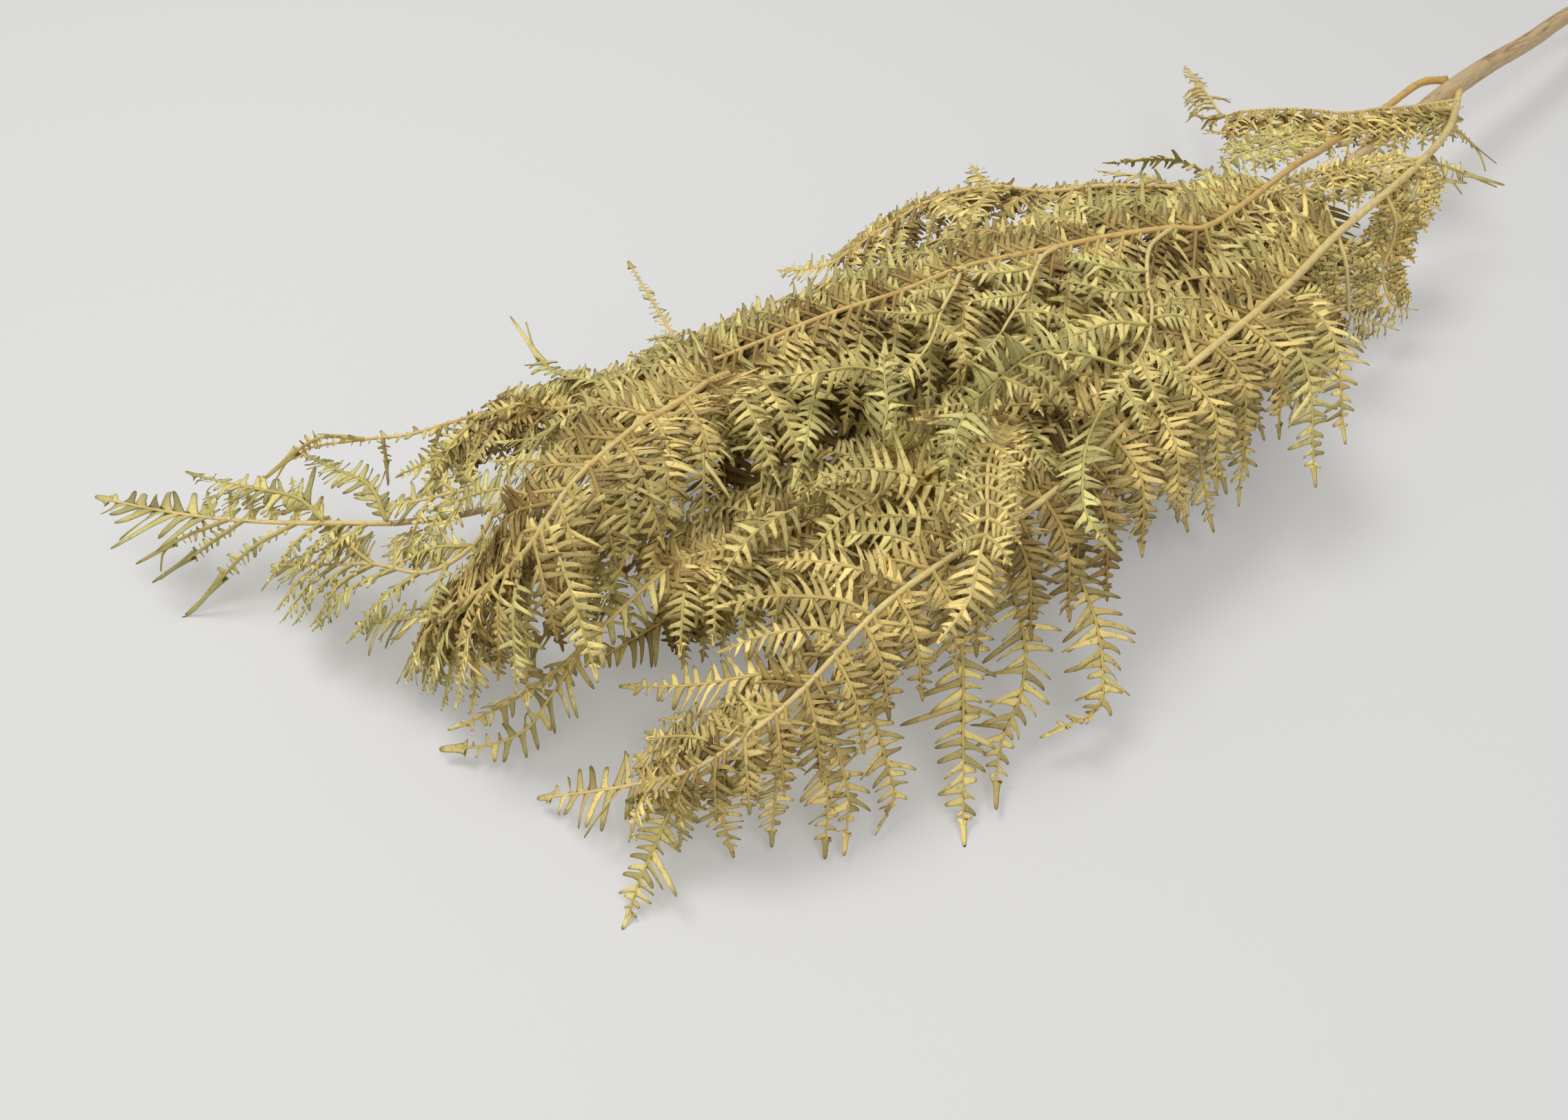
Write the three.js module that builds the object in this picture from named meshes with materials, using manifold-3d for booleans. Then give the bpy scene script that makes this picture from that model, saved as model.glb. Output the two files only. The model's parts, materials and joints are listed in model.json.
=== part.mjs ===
// Dried bracken frond lying on a table. Millimetres, +Z up, the table at z = 0.
// The cut stem points along +X and the frond's tip along -X.
import * as THREE from 'three';
import * as BufferGeometryUtils from 'three/addons/utils/BufferGeometryUtils.js';
import Module from 'manifold-3d';

const wasm = await Module();
wasm.setup();

// Driving dimensions
const stem = {
  sides: 8,
  step: 22,
  partEnd: 0.875,
  splitGap: 0.001,
  radii: [[0, 3.8], [0.2, 4], [0.285, 4.4], [0.33, 2.6], [0.6, 1.9], [0.75, 1.3], [0.875, 0.95], [1, 0.5]],
};
const costa = { tipRadius: 0.45, taper: 0.8, sides: 6, step: 26 };
const branch = { baseRadius: 0.85, tipRadius: 0.45, taper: 1, sides: 5, step: 16 };

// A feather is a thin blade cut to its rib. Its rib is a ridge with a flat underside.
const feather = {
  pitch: 8.5,
  ribHalfWidth: 0.85,
  ribThickness: 1.4,
  ribTaper: 0.5,
  ribThinning: 0.4,
  stalk: 4.5,
  toothedShare: 0.88,
  rootDepth: 0.6,
  lean: 0.42,
  arch: 0.16,
  shingle: 0.38,
  tracedShingle: 0.1,
  baseWidth: 0.72,
  widening: 1.5,
  slenderShare: 0.45,
  facingAt: 0.4,
};
const leafyBranch = { pitch: 8, ribHalfWidth: 1.1, ribThickness: 2 };
const leafyEnd = { pitch: 8, ribHalfWidth: 1, ribThickness: 1.6, widthLimit: 9, widthShare: 0.6, overlap: 3 };
const halfWidthOf = (length) => 3.4 + 0.105 * length;
const pinnuleGap = (length) => 3.1 + 0.213 * length;

// A pinnule by rule runs straight out to its knee and hangs from there. The spreads vary it from seed to
// seed.
const ruled = { kneeShare: 0.45, endShare: 0.58, turnSpread: 12, lengthSpread: 0.2, droopSpread: 0.3 };
const seeds = { node: 10, pinnule: 7.3, length: 3.9, droop: 5.7 };
const tracedDrop = 1.5;
const searchSteps = 200;
const stretchSteps = 40;

// Neighbouring pieces are kept this far apart. A feather that is too near is bent up or down at its tip.
const clearance = 0.35;
const sleeveGap = 0.455;
const bends = [0, 4, -4, 8, -8, 12, -12];
const shorterShare = 0.7;
const smoothing = 0.08;
const weldGap = 0.0001;

// Heights above the table that a feather lying on it keeps
const tableGap = { ridge: 1.4, tip: 0.5, ruledMiddle: 2, ruledEnd: 1 };
const middle = { along: 10.4, across: -2 };

// Routes run from root to tip: along the frond, across it, height above the table.
const stemRoute = [
  [400, 107, 2.8], [372, 102, 7], [340, 95, 18], [301, 84, 30], [254, 70, 34], [218, 61, 37],
  [184, 51, 40],
  [116, 32, 42], [46, 10, 42], [9, 2, 40], [-45, 4, 38], [-99, 11, 38], [-148, 23, 42], [-204, 14, 45],
  [-250, 5, 45], [-288, 11, 42], [-318, 31, 36], [-342, 49, 32], [-361, 65, 30], [-380, 84, 28],
];

// A pinna has a costa with pinnules on both sides. Its lengths are pairs of place along the costa (0 to 1)
// and pinnule length. Angle is from the costa in degrees, rise and droop are slopes up and down. Radius is
// the costa's own at its root, and first is how far along it pinnules begin.
// Its feathers are pinnules with a route of their own, its slender ones have short leaflets, and its branches
// are pinnules divided once more. A one-sided branch has pinnules on its near side only.
const pinnae = {
  near_pinna_1: {
    route: [
      [179, 46, 41], [134, 16, 50], [86, -6, 58], [25, -28, 64], [-15, -44, 66], [-62, -58, 66],
      [-95, -67, 62],
      [-125, -76, 58], [-148, -81, 57], [-171, -84, 57], [-196, -89, 55], [-224, -98, 48],
      [-242, -100, 42],
      [-257, -98, 34], [-273, -86, 20], [-292, -71, 6],
    ],
    radius: 1.45,
    first: 26,
    tailFrom: 0.93,
    lengths: [[0, 46], [0.3, 58], [0.55, 66], [0.8, 40], [1, 6]],
    near: { first: 214, angle: 62, rise: 0.05, droop: 1.35 },
    far: { first: 168, angle: 48, rise: 0.2, droop: 0.35 },
    branches: [
      { route: [[168, 40, 44], [138, 37, 49], [119, 39, 52], [101, 41, 54], [89, 48, 55],
        [79, 56, 54], [69, 65, 51],
        [65, 70, 48], [75, 88, 44], [88, 109, 38], [103, 132, 30]],
        lengths: [[0, 16], [0.25, 21], [0.5, 17], [0.7, 11], [1, 5]],
        hang: { angle: 72, rise: -0.3, droop: 1.8 },
        isOneSided: true },
      { route: [[101, 1, 56], [77, 1, 60], [59, 2, 62], [43, 3, 62], [32, 6, 60], [27, 10, 56],
        [25, 14, 50]],
        lengths: [[0, 12], [0.5, 15], [1, 6]], hang: { angle: 70, rise: -0.1, droop: 1.2 } },
      { route: [[98, -1, 56], [89, -9, 52], [79, -14, 42], [74, -18, 30],
        [85, -24, 18]], leafWidth: 11 },
      { route: [[63, -15, 60], [65, -21, 54], [67, -23, 44], [63, -27, 34], [65, -35, 24],
        [81, -36, 16]], leafWidth: 11 },
      { route: [[24, -30, 64], [24, -36, 58], [27, -40, 46], [32, -41, 36], [48, -40, 26],
        [63, -43, 18]], leafWidth: 11 },
      { route: [[-16, -44, 66], [-12, -50, 60], [-9, -55, 48], [-9, -60, 34],
        [-10, -62, 20]], leafWidth: 11 },
    ],
    feathers: [
      [[-55, -56, 66], [-49, -64, 54], [-45, -72, 34], [-47, -80, 14]],
      [[-75, -62, 64], [-71, -72, 52], [-65, -76, 32], [-61, -84, 12]],
      [[-95, -67, 62], [-86, -74, 52], [-76, -76, 34], [-70, -81, 14]],
      [[-111, -72, 60], [-94, -75, 48], [-86, -76, 32], [-91, -77, 18]],
      [[-130, -77, 58], [-129, -86, 52], [-132, -98, 42], [-133, -109, 34], [-137, -120, 26],
        [-142, -126, 18],
        [-158, -124, 14]],
      [[-152, -81, 57], [-153, -90, 48], [-153, -98, 38], [-154, -105, 29], [-160, -113, 20],
        [-170, -120, 11],
        [-179, -132, 4]],
      [[-176, -86, 57], [-175, -95, 48], [-175, -102, 38], [-180, -113, 24], [-192, -136, 0]],
      [[-193, -89, 55], [-193, -95, 48], [-195, -98, 40], [-197, -98, 30]],
      [[-210, -94, 52], [-206, -100, 42], [-205, -106, 30], [-205, -115, 17], [-206, -120, 10],
        [-213, -123, 4]],
      [[-224, -98, 48], [-223, -102, 39], [-223, -108, 28], [-224, -114, 16], [-229, -122, 3]],
      [[-235, -99, 45], [-235, -103, 37], [-236, -107, 26], [-238, -109, 16], [-241, -113, 5]],
      [[-246, -100, 40], [-243, -103, 30], [-241, -108, 18]],
      [[-252, -99, 37], [-251, -104, 26], [-252, -106, 15], [-252, -111, 5]],
      [[-257, -98, 34], [-265, -101, 24], [-271, -104, 16], [-278, -108, 9], [-286, -114, 0]],
      [[-260, -96, 32], [-260, -99, 22], [-264, -103, 8]],
      [[-185, -87, 56], [-192, -81, 60], [-202, -73, 62], [-214, -62, 58]],
      [[-198, -90, 55], [-203, -84, 58], [-214, -78, 60], [-223, -72, 58], [-233, -67, 54]],
      [[-207, -93, 53], [-212, -88, 56], [-220, -85, 57], [-228, -81, 54], [-238, -78, 50]],
      [[-221, -97, 48], [-225, -92, 50], [-231, -88, 48], [-239, -83, 44], [-247, -76, 38],
        [-261, -63, 30]],
      [[-233, -99, 45], [-240, -96, 44], [-246, -87, 38], [-256, -78, 30]],
      [[-218, -97, 49], [-218, -104, 36], [-218, -111, 24], [-219, -117, 14], [-224, -124, 4]],
    ],
    slender: [
      [[139, 19, 48], [150, 17, 42], [156, 12, 36], [157, 6, 30]],
      [[100, -2, 55], [117, -1, 48], [133, -3, 40], [149, -6, 32]],
      [[96, -4, 52], [111, -3, 46], [123, -2, 40], [129, -5, 34]],
    ],
  },
  far_pinna_1: {
    route: [
      [177, 53, 43], [163, 55, 44], [134, 47, 44], [103, 38, 46], [80, 28, 53], [59, 16, 62], [34, 5, 70],
      [-23, -15, 76], [-40, -12, 78], [-64, -7, 79],
      [-88, -3, 79], [-110, 2, 78], [-136, 3, 76], [-158, 7, 73], [-192, 10, 68], [-213, 17, 62],
      [-234, 25, 56],
      [-263, 40, 50], [-285, 45, 47], [-299, 53, 44], [-315, 69, 34], [-321, 73, 28],
    ],
    radius: 1.75,
    first: 70,
    tailFrom: 0.85,
    tailWidth: 2.4,
    lengths: [[0, 52], [0.4, 48], [0.7, 34], [1, 6]],
    near: { first: 186, angle: 58, rise: 0.12, droop: 0.6 },
    far: { first: 178, angle: 50, rise: 0.05, droop: 0.75 },
    branches: [
      {
        route: [[-39, -12, 78], [-53, -18, 78], [-65, -33, 76], [-68, -39, 75], [-78, -50, 73],
          [-90, -57, 71],
          [-104, -63, 68]],
        isBare: true,
      },
      { route: [[-79, -5, 79], [-89, -8, 80], [-103, -20, 80], [-114, -27, 79], [-121, -31, 77],
        [-130, -33, 74]],
        isBare: true },
      { route: [[-111, 2, 78], [-120, -6, 79], [-130, -14, 79], [-136, -20, 78], [-143, -25, 76],
        [-154, -28, 72]],
        isBare: true },
      { route: [[99, 36, 48], [78, 39, 52], [55, 36, 55], [40, 34, 57], [28, 32, 56]],
        lengths: [[0, 12], [0.6, 14], [1, 6]], hang: { angle: 62, rise: 0, droop: 0.5 } },
    ],
    feathers: [
      [[-61, -27, 77], [-72, -22, 80], [-78, -15, 80], [-81, -6, 76]],
      [[-65, -33, 76], [-79, -32, 80], [-85, -25, 80], [-89, -14, 76]],
      [[-73, -45, 74], [-87, -42, 78], [-103, -41, 78], [-113, -30, 74]],
      [[-68, -39, 75], [-59, -41, 74], [-47, -43, 68]],
      [[-71, -43, 74], [-63, -45, 74], [-57, -49, 70], [-54, -53, 62]],
      [[-80, -51, 73], [-78, -60, 71], [-75, -66, 66], [-69, -70, 60]],
      [[-84, -54, 72], [-88, -65, 71], [-89, -77, 64]],
      [[-94, -59, 71], [-96, -69, 69], [-96, -77, 62]],
      [[-102, -62, 68], [-118, -74, 70], [-128, -85, 70], [-134, -95, 68], [-133, -107, 64]],
      [[-88, -56, 71], [-103, -47, 76], [-118, -45, 80], [-138, -52, 82], [-151, -58, 81],
        [-159, -65, 78],
        [-170, -77, 70]],
      [[-92, -10, 80], [-104, -11, 82], [-111, -7, 82], [-115, 2, 79]],
      [[-103, -20, 80], [-113, -20, 82], [-123, -15, 80]],
      [[-111, -25, 79], [-103, -31, 80], [-95, -36, 76]],
      [[-120, -30, 77], [-116, -39, 76], [-112, -47, 70]],
      [[-120, -6, 79], [-129, -6, 81], [-136, -5, 80], [-138, -4, 76]],
      [[-130, -14, 79], [-139, -14, 81], [-147, -4, 78]],
      [[-134, -18, 78], [-132, -26, 78], [-133, -33, 74], [-136, -36, 68]],
      [[-154, -28, 72], [-163, -22, 76], [-175, -18, 76], [-188, -9, 72]],
      [[-263, 40, 50], [-277, 37, 44], [-288, 33, 34]],
    ],
    slender: [
      [[-276, 43, 48], [-280, 42, 42], [-282, 44, 34]],
      [[-293, 50, 44], [-295, 50, 36], [-297, 47, 28]],
      [[-299, 53, 44], [-310, 58, 46], [-321, 66, 36], [-330, 72, 22]],
    ],
  },
  near_pinna_2: {
    route: [
      [36, 5, 41], [15, -6, 46], [-15, -25, 50], [-40, -39, 50], [-78, -50, 50], [-118, -53, 52],
      [-157, -55, 54], [-191, -52, 54], [-217, -51, 55], [-236, -49, 56], [-257, -53, 50],
      [-265, -53, 44],
      [-273, -54, 36], [-282, -55, 26], [-289, -55, 18], [-299, -50, 10], [-311, -42, 5],
    ],
    radius: 1.35,
    first: 34,
    tailFrom: 0.86,
    lengths: [[0, 34], [0.3, 46], [0.6, 42], [0.85, 16], [1, 8]],
    near: { angle: 60, rise: -0.1, droop: 0.9 },
    far: { angle: 52, rise: -0.1, droop: 0.3 },
    feathers: [
      [[-78, -50, 50], [-106, -55, 60], [-131, -61, 64], [-150, -62, 60]],
      [[-262, -53, 45], [-276, -54, 38], [-291, -54, 32], [-308, -51, 26]],
      [[-255, -53, 50], [-266, -40, 38], [-280, -35, 28], [-293, -30, 22]],
    ],
  },
  far_pinna_2: {
    route: [
      [33, 10, 43], [22, 22, 54], [-2, 26, 60], [-26, 36, 62], [-45, 44, 61], [-60, 57, 60],
      [-81, 65, 56],
      [-102, 69, 46], [-119, 75, 34], [-130, 92, 24],
    ],
    radius: 1.1,
    first: 24,
    tailFrom: 0.85,
    lengths: [[0, 44], [0.4, 48], [0.8, 26], [1, 8]],
    near: { angle: 55, rise: 0, droop: 0.45 },
    far: { angle: 52, rise: -0.1, droop: 1.5 },
    feathers: [
      [[23, 21, 54], [20, 35, 56], [13, 46, 56], [0, 64, 48]],
      [[-2, 26, 60], [-9, 33, 62], [-15, 52, 56]],
      [[-60, 57, 60], [-84, 39, 64], [-103, 32, 62], [-117, 35, 54]],
      [[-81, 65, 56], [-85, 44, 64], [-83, 30, 62]],
    ],
  },
  near_pinna_3: {
    route: [
      [-56, 5, 38], [-92, -28, 52], [-124, -48, 62], [-144, -64, 70], [-156, -78, 75], [-164, -90, 74],
      [-172, -98, 70], [-177, -103, 64], [-188, -107, 58],
    ],
    radius: 1.1,
    first: 30,
    tailFrom: 0.85,
    lengths: [[0, 34], [0.4, 36], [0.62, 12], [1, 9]],
    near: { angle: 60, rise: 0, droop: 0.6 },
    far: { angle: 60, rise: 0, droop: 0.4 },
  },
  far_pinna_3: {
    route: [
      [-74, 9, 40], [-103, 15, 51], [-132, 15, 58], [-153, 15, 60], [-171, 19, 60], [-185, 21, 58],
      [-195, 31, 54], [-195, 46, 52], [-192, 70, 48], [-188, 100, 42],
    ],
    radius: 1.1,
    first: 22,
    tailFrom: 0.72,
    tailWidth: 2.4,
    lengths: [[0, 40], [0.4, 38], [0.65, 12], [1, 3]],
    near: { angle: 55, rise: 0, droop: 0.3 },
    far: { angle: 60, rise: 0, droop: 1.3 },
    feathers: [
      [[-153, 15, 60], [-166, -3, 63], [-177, -18, 63], [-186, -30, 60], [-194, -37, 54]],
    ],
  },
  near_pinna_4: {
    route: [
      [-82, 4, 38], [-109, -20, 44], [-139, -32, 46], [-171, -40, 44], [-199, -46, 40], [-222, -46, 34],
      [-241, -44, 26], [-263, -41, 16],
    ],
    radius: 1.1,
    first: 30,
    tailFrom: 0.85,
    lengths: [[0, 38], [0.4, 44], [0.8, 20], [1, 8]],
    near: { angle: 60, rise: -0.1, droop: 0.5 },
    far: { angle: 55, rise: 0, droop: 0.2 },
    feathers: [
      [[-150, -35, 46], [-164, -45, 62], [-169, -45, 70], [-164, -39, 74], [-158, -27, 76],
        [-151, -16, 76]],
      [[-144, -34, 46], [-161, -58, 62], [-173, -56, 68], [-184, -52, 70], [-194, -50, 68],
        [-199, -51, 64],
        [-201, -53, 56]],
    ],
  },
  far_pinna_4: {
    route: [
      [-170, 24, 44], [-190, 18, 54], [-209, 12, 58], [-224, 19, 58], [-241, 24, 56], [-256, 34, 52],
      [-267, 38, 46], [-281, 37, 36], [-288, 38, 28],
    ],
    radius: 1,
    first: 20,
    tailFrom: 0.85,
    lengths: [[0, 36], [0.4, 40], [0.8, 22], [1, 8]],
    near: { angle: 55, rise: 0, droop: 0.3 },
    far: { angle: 55, rise: -0.1, droop: 1.4 },
    slender: [
      [[-213, 14, 58], [-223, 20, 60], [-232, 29, 60], [-238, 42, 56], [-238, 60, 50], [-233, 87, 42]],
    ],
    feathers: [
      [[-245, 26, 56], [-254, 30, 58], [-265, 34, 54]],
      [[-267, 38, 46], [-280, 37, 42], [-294, 43, 34]],
    ],
  },
  near_pinna_5: {
    route: [
      [-162, 19, 44], [-180, 11, 58], [-199, 2, 68], [-211, -6, 73], [-223, -12, 76], [-230, -15, 78],
      [-244, -23, 80], [-255, -29, 80], [-265, -34, 76], [-274, -36, 68], [-287, -31, 54],
      [-302, -19, 38],
      [-321, 1, 22],
    ],
    radius: 1.15,
    first: 20,
    tailFrom: 0.84,
    lengths: [[0, 44], [0.4, 52], [0.75, 34], [1, 8]],
    near: { angle: 58, rise: 0.05, droop: 0.9 },
    far: { angle: 50, rise: 0, droop: 0.7 },
    feathers: [
      [[-177, 16, 52], [-191, -13, 62], [-198, -26, 62], [-203, -35, 58], [-209, -43, 50]],
      [[-212, -7, 73], [-215, -21, 74], [-220, -33, 70], [-224, -40, 62], [-228, -44, 54]],
      [[-230, -16, 78], [-231, -28, 79], [-232, -36, 76], [-235, -41, 68], [-241, -44, 58],
        [-247, -48, 48]],
      [[-244, -23, 80], [-245, -35, 81], [-246, -42, 77], [-249, -46, 68], [-254, -48, 58],
        [-261, -50, 50]],
      [[-256, -30, 80], [-256, -39, 80], [-258, -43, 72], [-261, -44, 60], [-264, -44, 52]],
      [[-252, -27, 80], [-259, -20, 80], [-264, -12, 76], [-271, -2, 70]],
      [[-263, -32, 78], [-271, -21, 76], [-277, -12, 70], [-288, -2, 60]],
      [[-244, -23, 80], [-245, -14, 76], [-252, 1, 68], [-265, 17, 58]],
    ],
  },
  far_pinna_5: {
    route: [[-264, 8, 44], [-275, 12, 48], [-290, 17, 46], [-301, 24, 42]],
    radius: 0.7,
    first: 12,
    tailFrom: 0.7,
    lengths: [[0, 24], [1, 8]],
    near: { angle: 55, rise: 0, droop: 0.5 },
    far: { angle: 55, rise: -0.1, droop: 1.5 },
  },
  near_pinna_6: {
    route: [
      [-230, 9, 45], [-252, -20, 52], [-269, -32, 52], [-285, -30, 44], [-297, -23, 32],
      [-310, -13, 16],
      [-313, -10, 8],
    ],
    radius: 0.9,
    first: 24,
    tailFrom: 0.8,
    lengths: [[0, 30], [0.5, 34], [1, 8]],
    near: { angle: 60, rise: -0.1, droop: 0.9 },
    far: { angle: 55, rise: -0.1, droop: 0.5 },
  },
  near_pinna_7: {
    route: [[-272, 6, 44], [-283, -9, 48], [-298, -9, 44], [-311, 7, 38], [-324, 23, 28],
      [-339, 42, 16]],
    radius: 0.8,
    first: 20,
    tailFrom: 0.8,
    lengths: [[0, 26], [0.5, 30], [1, 7]],
    near: { angle: 58, rise: 0, droop: 0.6 },
    far: { angle: 55, rise: 0, droop: 0.5 },
    feathers: [
      [[-311, 7, 38], [-316, 22, 36], [-320, 42, 30]],
    ],
  },
};

// The last stretch of the stem, where its own pinnules are single feathers.
const frondTip = {
  radius: 0.9,
  first: 8,
  tailFrom: 0.6,
  tailWidth: 11,
  lengths: [[0, 24], [0.45, 20], [0.7, 14], [1, 5]],
  near: { angle: 55, rise: 0, droop: 0.4 },
  far: { angle: 55, rise: 0, droop: 0.2 },
  feathers: [
    [[-302, 20, 40], [-303, 32, 44], [-310, 48, 40], [-318, 69, 32]],
    [[-319, 32, 36], [-324, 42, 40], [-338, 57, 38], [-353, 80, 30]],
  ],
  slender: [
    [[-327, 38, 35], [-343, 40, 28], [-358, 46, 12], [-371, 50, 0]],
    [[-342, 49, 33], [-355, 52, 24], [-373, 57, 12]],
    [[-346, 52, 32], [-360, 57, 26], [-368, 60, 20], [-372, 60, 12]],
  ],
};

const up = new THREE.Vector3(0, 0, 1);

function noise(n) {
  const value = Math.sin(n * 12.9898 + 78.233) * 43758.5453;
  return value - Math.floor(value);
}

function curveOf(points) {
  const knots = points.map((point) => new THREE.Vector3(...point));
  return new THREE.CatmullRomCurve3(knots, false, 'catmullrom', 0.5);
}

function interpolate(pairs, place) {
  const next = pairs.findIndex((pair) => pair[0] >= place);
  if (next <= 0) return pairs[0][1];
  const [lowPlace, low] = pairs[next - 1];
  const [highPlace, high] = pairs[next];
  return THREE.MathUtils.lerp(low, high, (place - lowPlace) / (highPlace - lowPlace));
}

function solidOf(geometry) {
  const merged = BufferGeometryUtils.mergeVertices(geometry, weldGap);
  return new wasm.Manifold(new wasm.Mesh({
    numProp: 3,
    vertProperties: new Float32Array(merged.attributes.position.array),
    triVerts: new Uint32Array(merged.index.array),
  }));
}

function rodSteps(curve, step) {
  return Math.max(3, Math.round(curve.getLength() / step));
}

// A round rod along a curve, closed at both ends
function rod(curve, radiusAt, sides, step) {
  const steps = rodSteps(curve, step);
  const frames = curve.computeFrenetFrames(steps);
  const geometry = new THREE.CylinderGeometry(1, 1, 1, sides, steps);
  geometry.deleteAttribute('normal');
  geometry.deleteAttribute('uv');
  const position = geometry.attributes.position;
  for (let i = 0; i < position.count; i += 1) {
    const row = Math.round((0.5 - position.getY(i)) * steps);
    const radius = radiusAt(row / steps);
    const point = curve.getPointAt(row / steps)
      .addScaledVector(frames.normals[row], radius * position.getX(i))
      .addScaledVector(frames.binormals[row], radius * position.getZ(i));
    position.setXYZ(i, point.x, point.y, point.z);
  }
  return solidOf(geometry);
}

// A thin feather cut to its ridged rib: a row of leaflets on each side and an undivided end
function blade(curve, across, twist, shape) {
  const length = curve.getLength();
  const toothed = feather.toothedShare * length - feather.stalk;
  const teeth = Math.max(1, Math.round(toothed / shape.pitch));
  const positions = [];
  const faces = [];
  const add = (point, floor) => {
    positions.push(point.x, point.y, Math.max(point.z, floor));
    return positions.length / 3 - 1;
  };
  const frameAt = (place) => {
    const tangent = curve.getTangentAt(place);
    const side = across.clone().addScaledVector(tangent, -across.dot(tangent)).normalize();
    side.applyAxisAngle(tangent, twist);
    return { point: curve.getPointAt(place), tangent, side, face: tangent.clone().cross(side) };
  };
  const placeOf = (i) => (feather.stalk + toothed * (i / teeth)) / length;
  const places = Array.from({ length: teeth + 1 }, (_, i) => placeOf(i));
  const stations = places.map((place) => {
    const { point, side, face } = frameAt(place);
    const half = shape.ribHalfWidth * (1 - feather.ribTaper * place);
    const thick = shape.ribThickness * (1 - feather.ribThinning * place);
    const low = point.clone().addScaledVector(face, -thick / 2);
    return {
      ridge: add(point.clone().addScaledVector(face, thick / 2), tableGap.ridge),
      left: add(low.clone().addScaledVector(side, half), 0),
      right: add(low.clone().addScaledVector(side, -half), 0),
    };
  });
  const toothTip = (sign, i) => {
    const place = (places[i] + places[i + 1]) / 2;
    const { point, tangent, side, face } = frameAt(place);
    const swell = Math.min(1, feather.baseWidth + feather.widening * place);
    const width = shape.halfWidth * (1 - place ** 3) * swell;
    return add(point.addScaledVector(side, sign * width)
      .addScaledVector(tangent, feather.lean * width)
      .addScaledVector(face, -feather.arch * width), tableGap.tip);
  };
  const root = add(curve.getPointAt(0).addScaledVector(curve.getTangentAt(0), -feather.rootDepth), 0);
  const first = stations[0];
  faces.push(root, first.ridge, first.left, root, first.right, first.ridge, root, first.left, first.right);
  for (let i = 0; i < teeth; i += 1) {
    const a = stations[i];
    const b = stations[i + 1];
    const left = toothTip(1, i);
    const right = toothTip(-1, i);
    faces.push(a.left, b.left, b.right, a.left, b.right, a.right);
    faces.push(a.ridge, b.ridge, left, a.ridge, left, a.left);
    faces.push(a.left, left, b.left, b.left, left, b.ridge);
    faces.push(b.ridge, a.ridge, right, right, a.ridge, a.right);
    faces.push(right, a.right, b.right, right, b.right, b.ridge);
  }
  const last = stations[teeth];
  const end = add(curve.getPointAt(1), 0);
  faces.push(last.ridge, end, last.left, last.right, end, last.ridge, last.left, end, last.right);
  const geometry = new THREE.BufferGeometry();
  geometry.setAttribute('position', new THREE.Float32BufferAttribute(positions, 3));
  geometry.setIndex(faces);
  return solidOf(geometry);
}

// Solids already placed, so that a feather of another piece is bent clear of them
const placed = [];

function boxesNear(a, b) {
  return [0, 1, 2].every((k) => a.min[k] - clearance < b.max[k] && b.min[k] - clearance < a.max[k]);
}

function isClear(solid, node) {
  const box = solid.boundingBox();
  return placed.every((other) => other.node === node || !boxesNear(box, other.box)
    || solid.minGap(other.solid, 2 * clearance) >= clearance);
}

// Feathers of the same piece may touch, but read better and stay simpler where they don't cross
function crossesOwn(solid, node) {
  const box = solid.boundingBox();
  return placed.some((other) => other.node === node && other.isFeather && boxesNear(box, other.box)
    && !solid.intersect(other.solid).isEmpty());
}

function place(solid, node, isFeather) {
  placed.push({ solid, node, isFeather, box: solid.boundingBox() });
  return solid;
}

function featherSolid(pinnule, bend, share) {
  const last = pinnule.points.length - 1;
  const bent = pinnule.points.map((point, i) => {
    const along = i / last;
    const lift = Math.max(tableGap.ridge * (1 - along), point[2] + bend * along);
    return [point[0], point[1], lift];
  });
  const whole = curveOf(bent);
  const curve = share < 1 ? stretchOf(whole, 0, share) : whole;
  const tangent = curve.getTangentAt(feather.facingAt);
  const across = pinnule.tangent.clone();
  if (tangent.clone().cross(across).dot(pinnule.outward) < 0) across.negate();
  const halfWidth = pinnule.widthShare * halfWidthOf(curve.getLength());
  return blade(curve, across, pinnule.twist, { ...feather, halfWidth });
}

// A pinnule with a given route, lifted, lowered or cut short until it is clear
function growFeather(pinnule, node) {
  for (const mayCross of [false, true]) {
    for (const share of mayCross && !pinnule.isTraced ? [] : [1, shorterShare]) {
      for (const bend of bends) {
        const solid = featherSolid(pinnule, bend, share);
        const isFree = isClear(solid, node) && (mayCross || !crossesOwn(solid, node));
        if (isFree) return place(solid, node, true);
      }
    }
  }
  return null;
}

function nearestPlace(curve, point) {
  const target = new THREE.Vector3(...point);
  const places = Array.from({ length: searchSteps + 1 }, (_, i) => i / searchSteps);
  const gaps = places.map((at) => curve.getPointAt(at).distanceTo(target));
  const gap = Math.min(...gaps);
  return { at: places[gaps.indexOf(gap)], gap };
}

// The nearest point on the straight stretches a rod is made of, so that roots sit inside it
function seatOn(spine, point) {
  const target = new THREE.Vector3(...point);
  const seats = spine.slice(1).map((end, i) => new THREE.Line3(spine[i], end)
    .closestPointToPoint(target, true, new THREE.Vector3()));
  return seats.sort((a, b) => a.distanceTo(target) - b.distanceTo(target))[0].toArray();
}

function sideOf(curve, at) {
  return up.clone().cross(curve.getTangentAt(at)).normalize();
}

function stretchOf(curve, from, to) {
  const count = Math.max(4, Math.round((to - from) * stretchSteps));
  const points = [];
  for (let i = 0; i <= count; i += 1) {
    points.push(curve.getPointAt(THREE.MathUtils.lerp(from, to, i / count)).toArray());
  }
  return curveOf(points);
}

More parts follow.
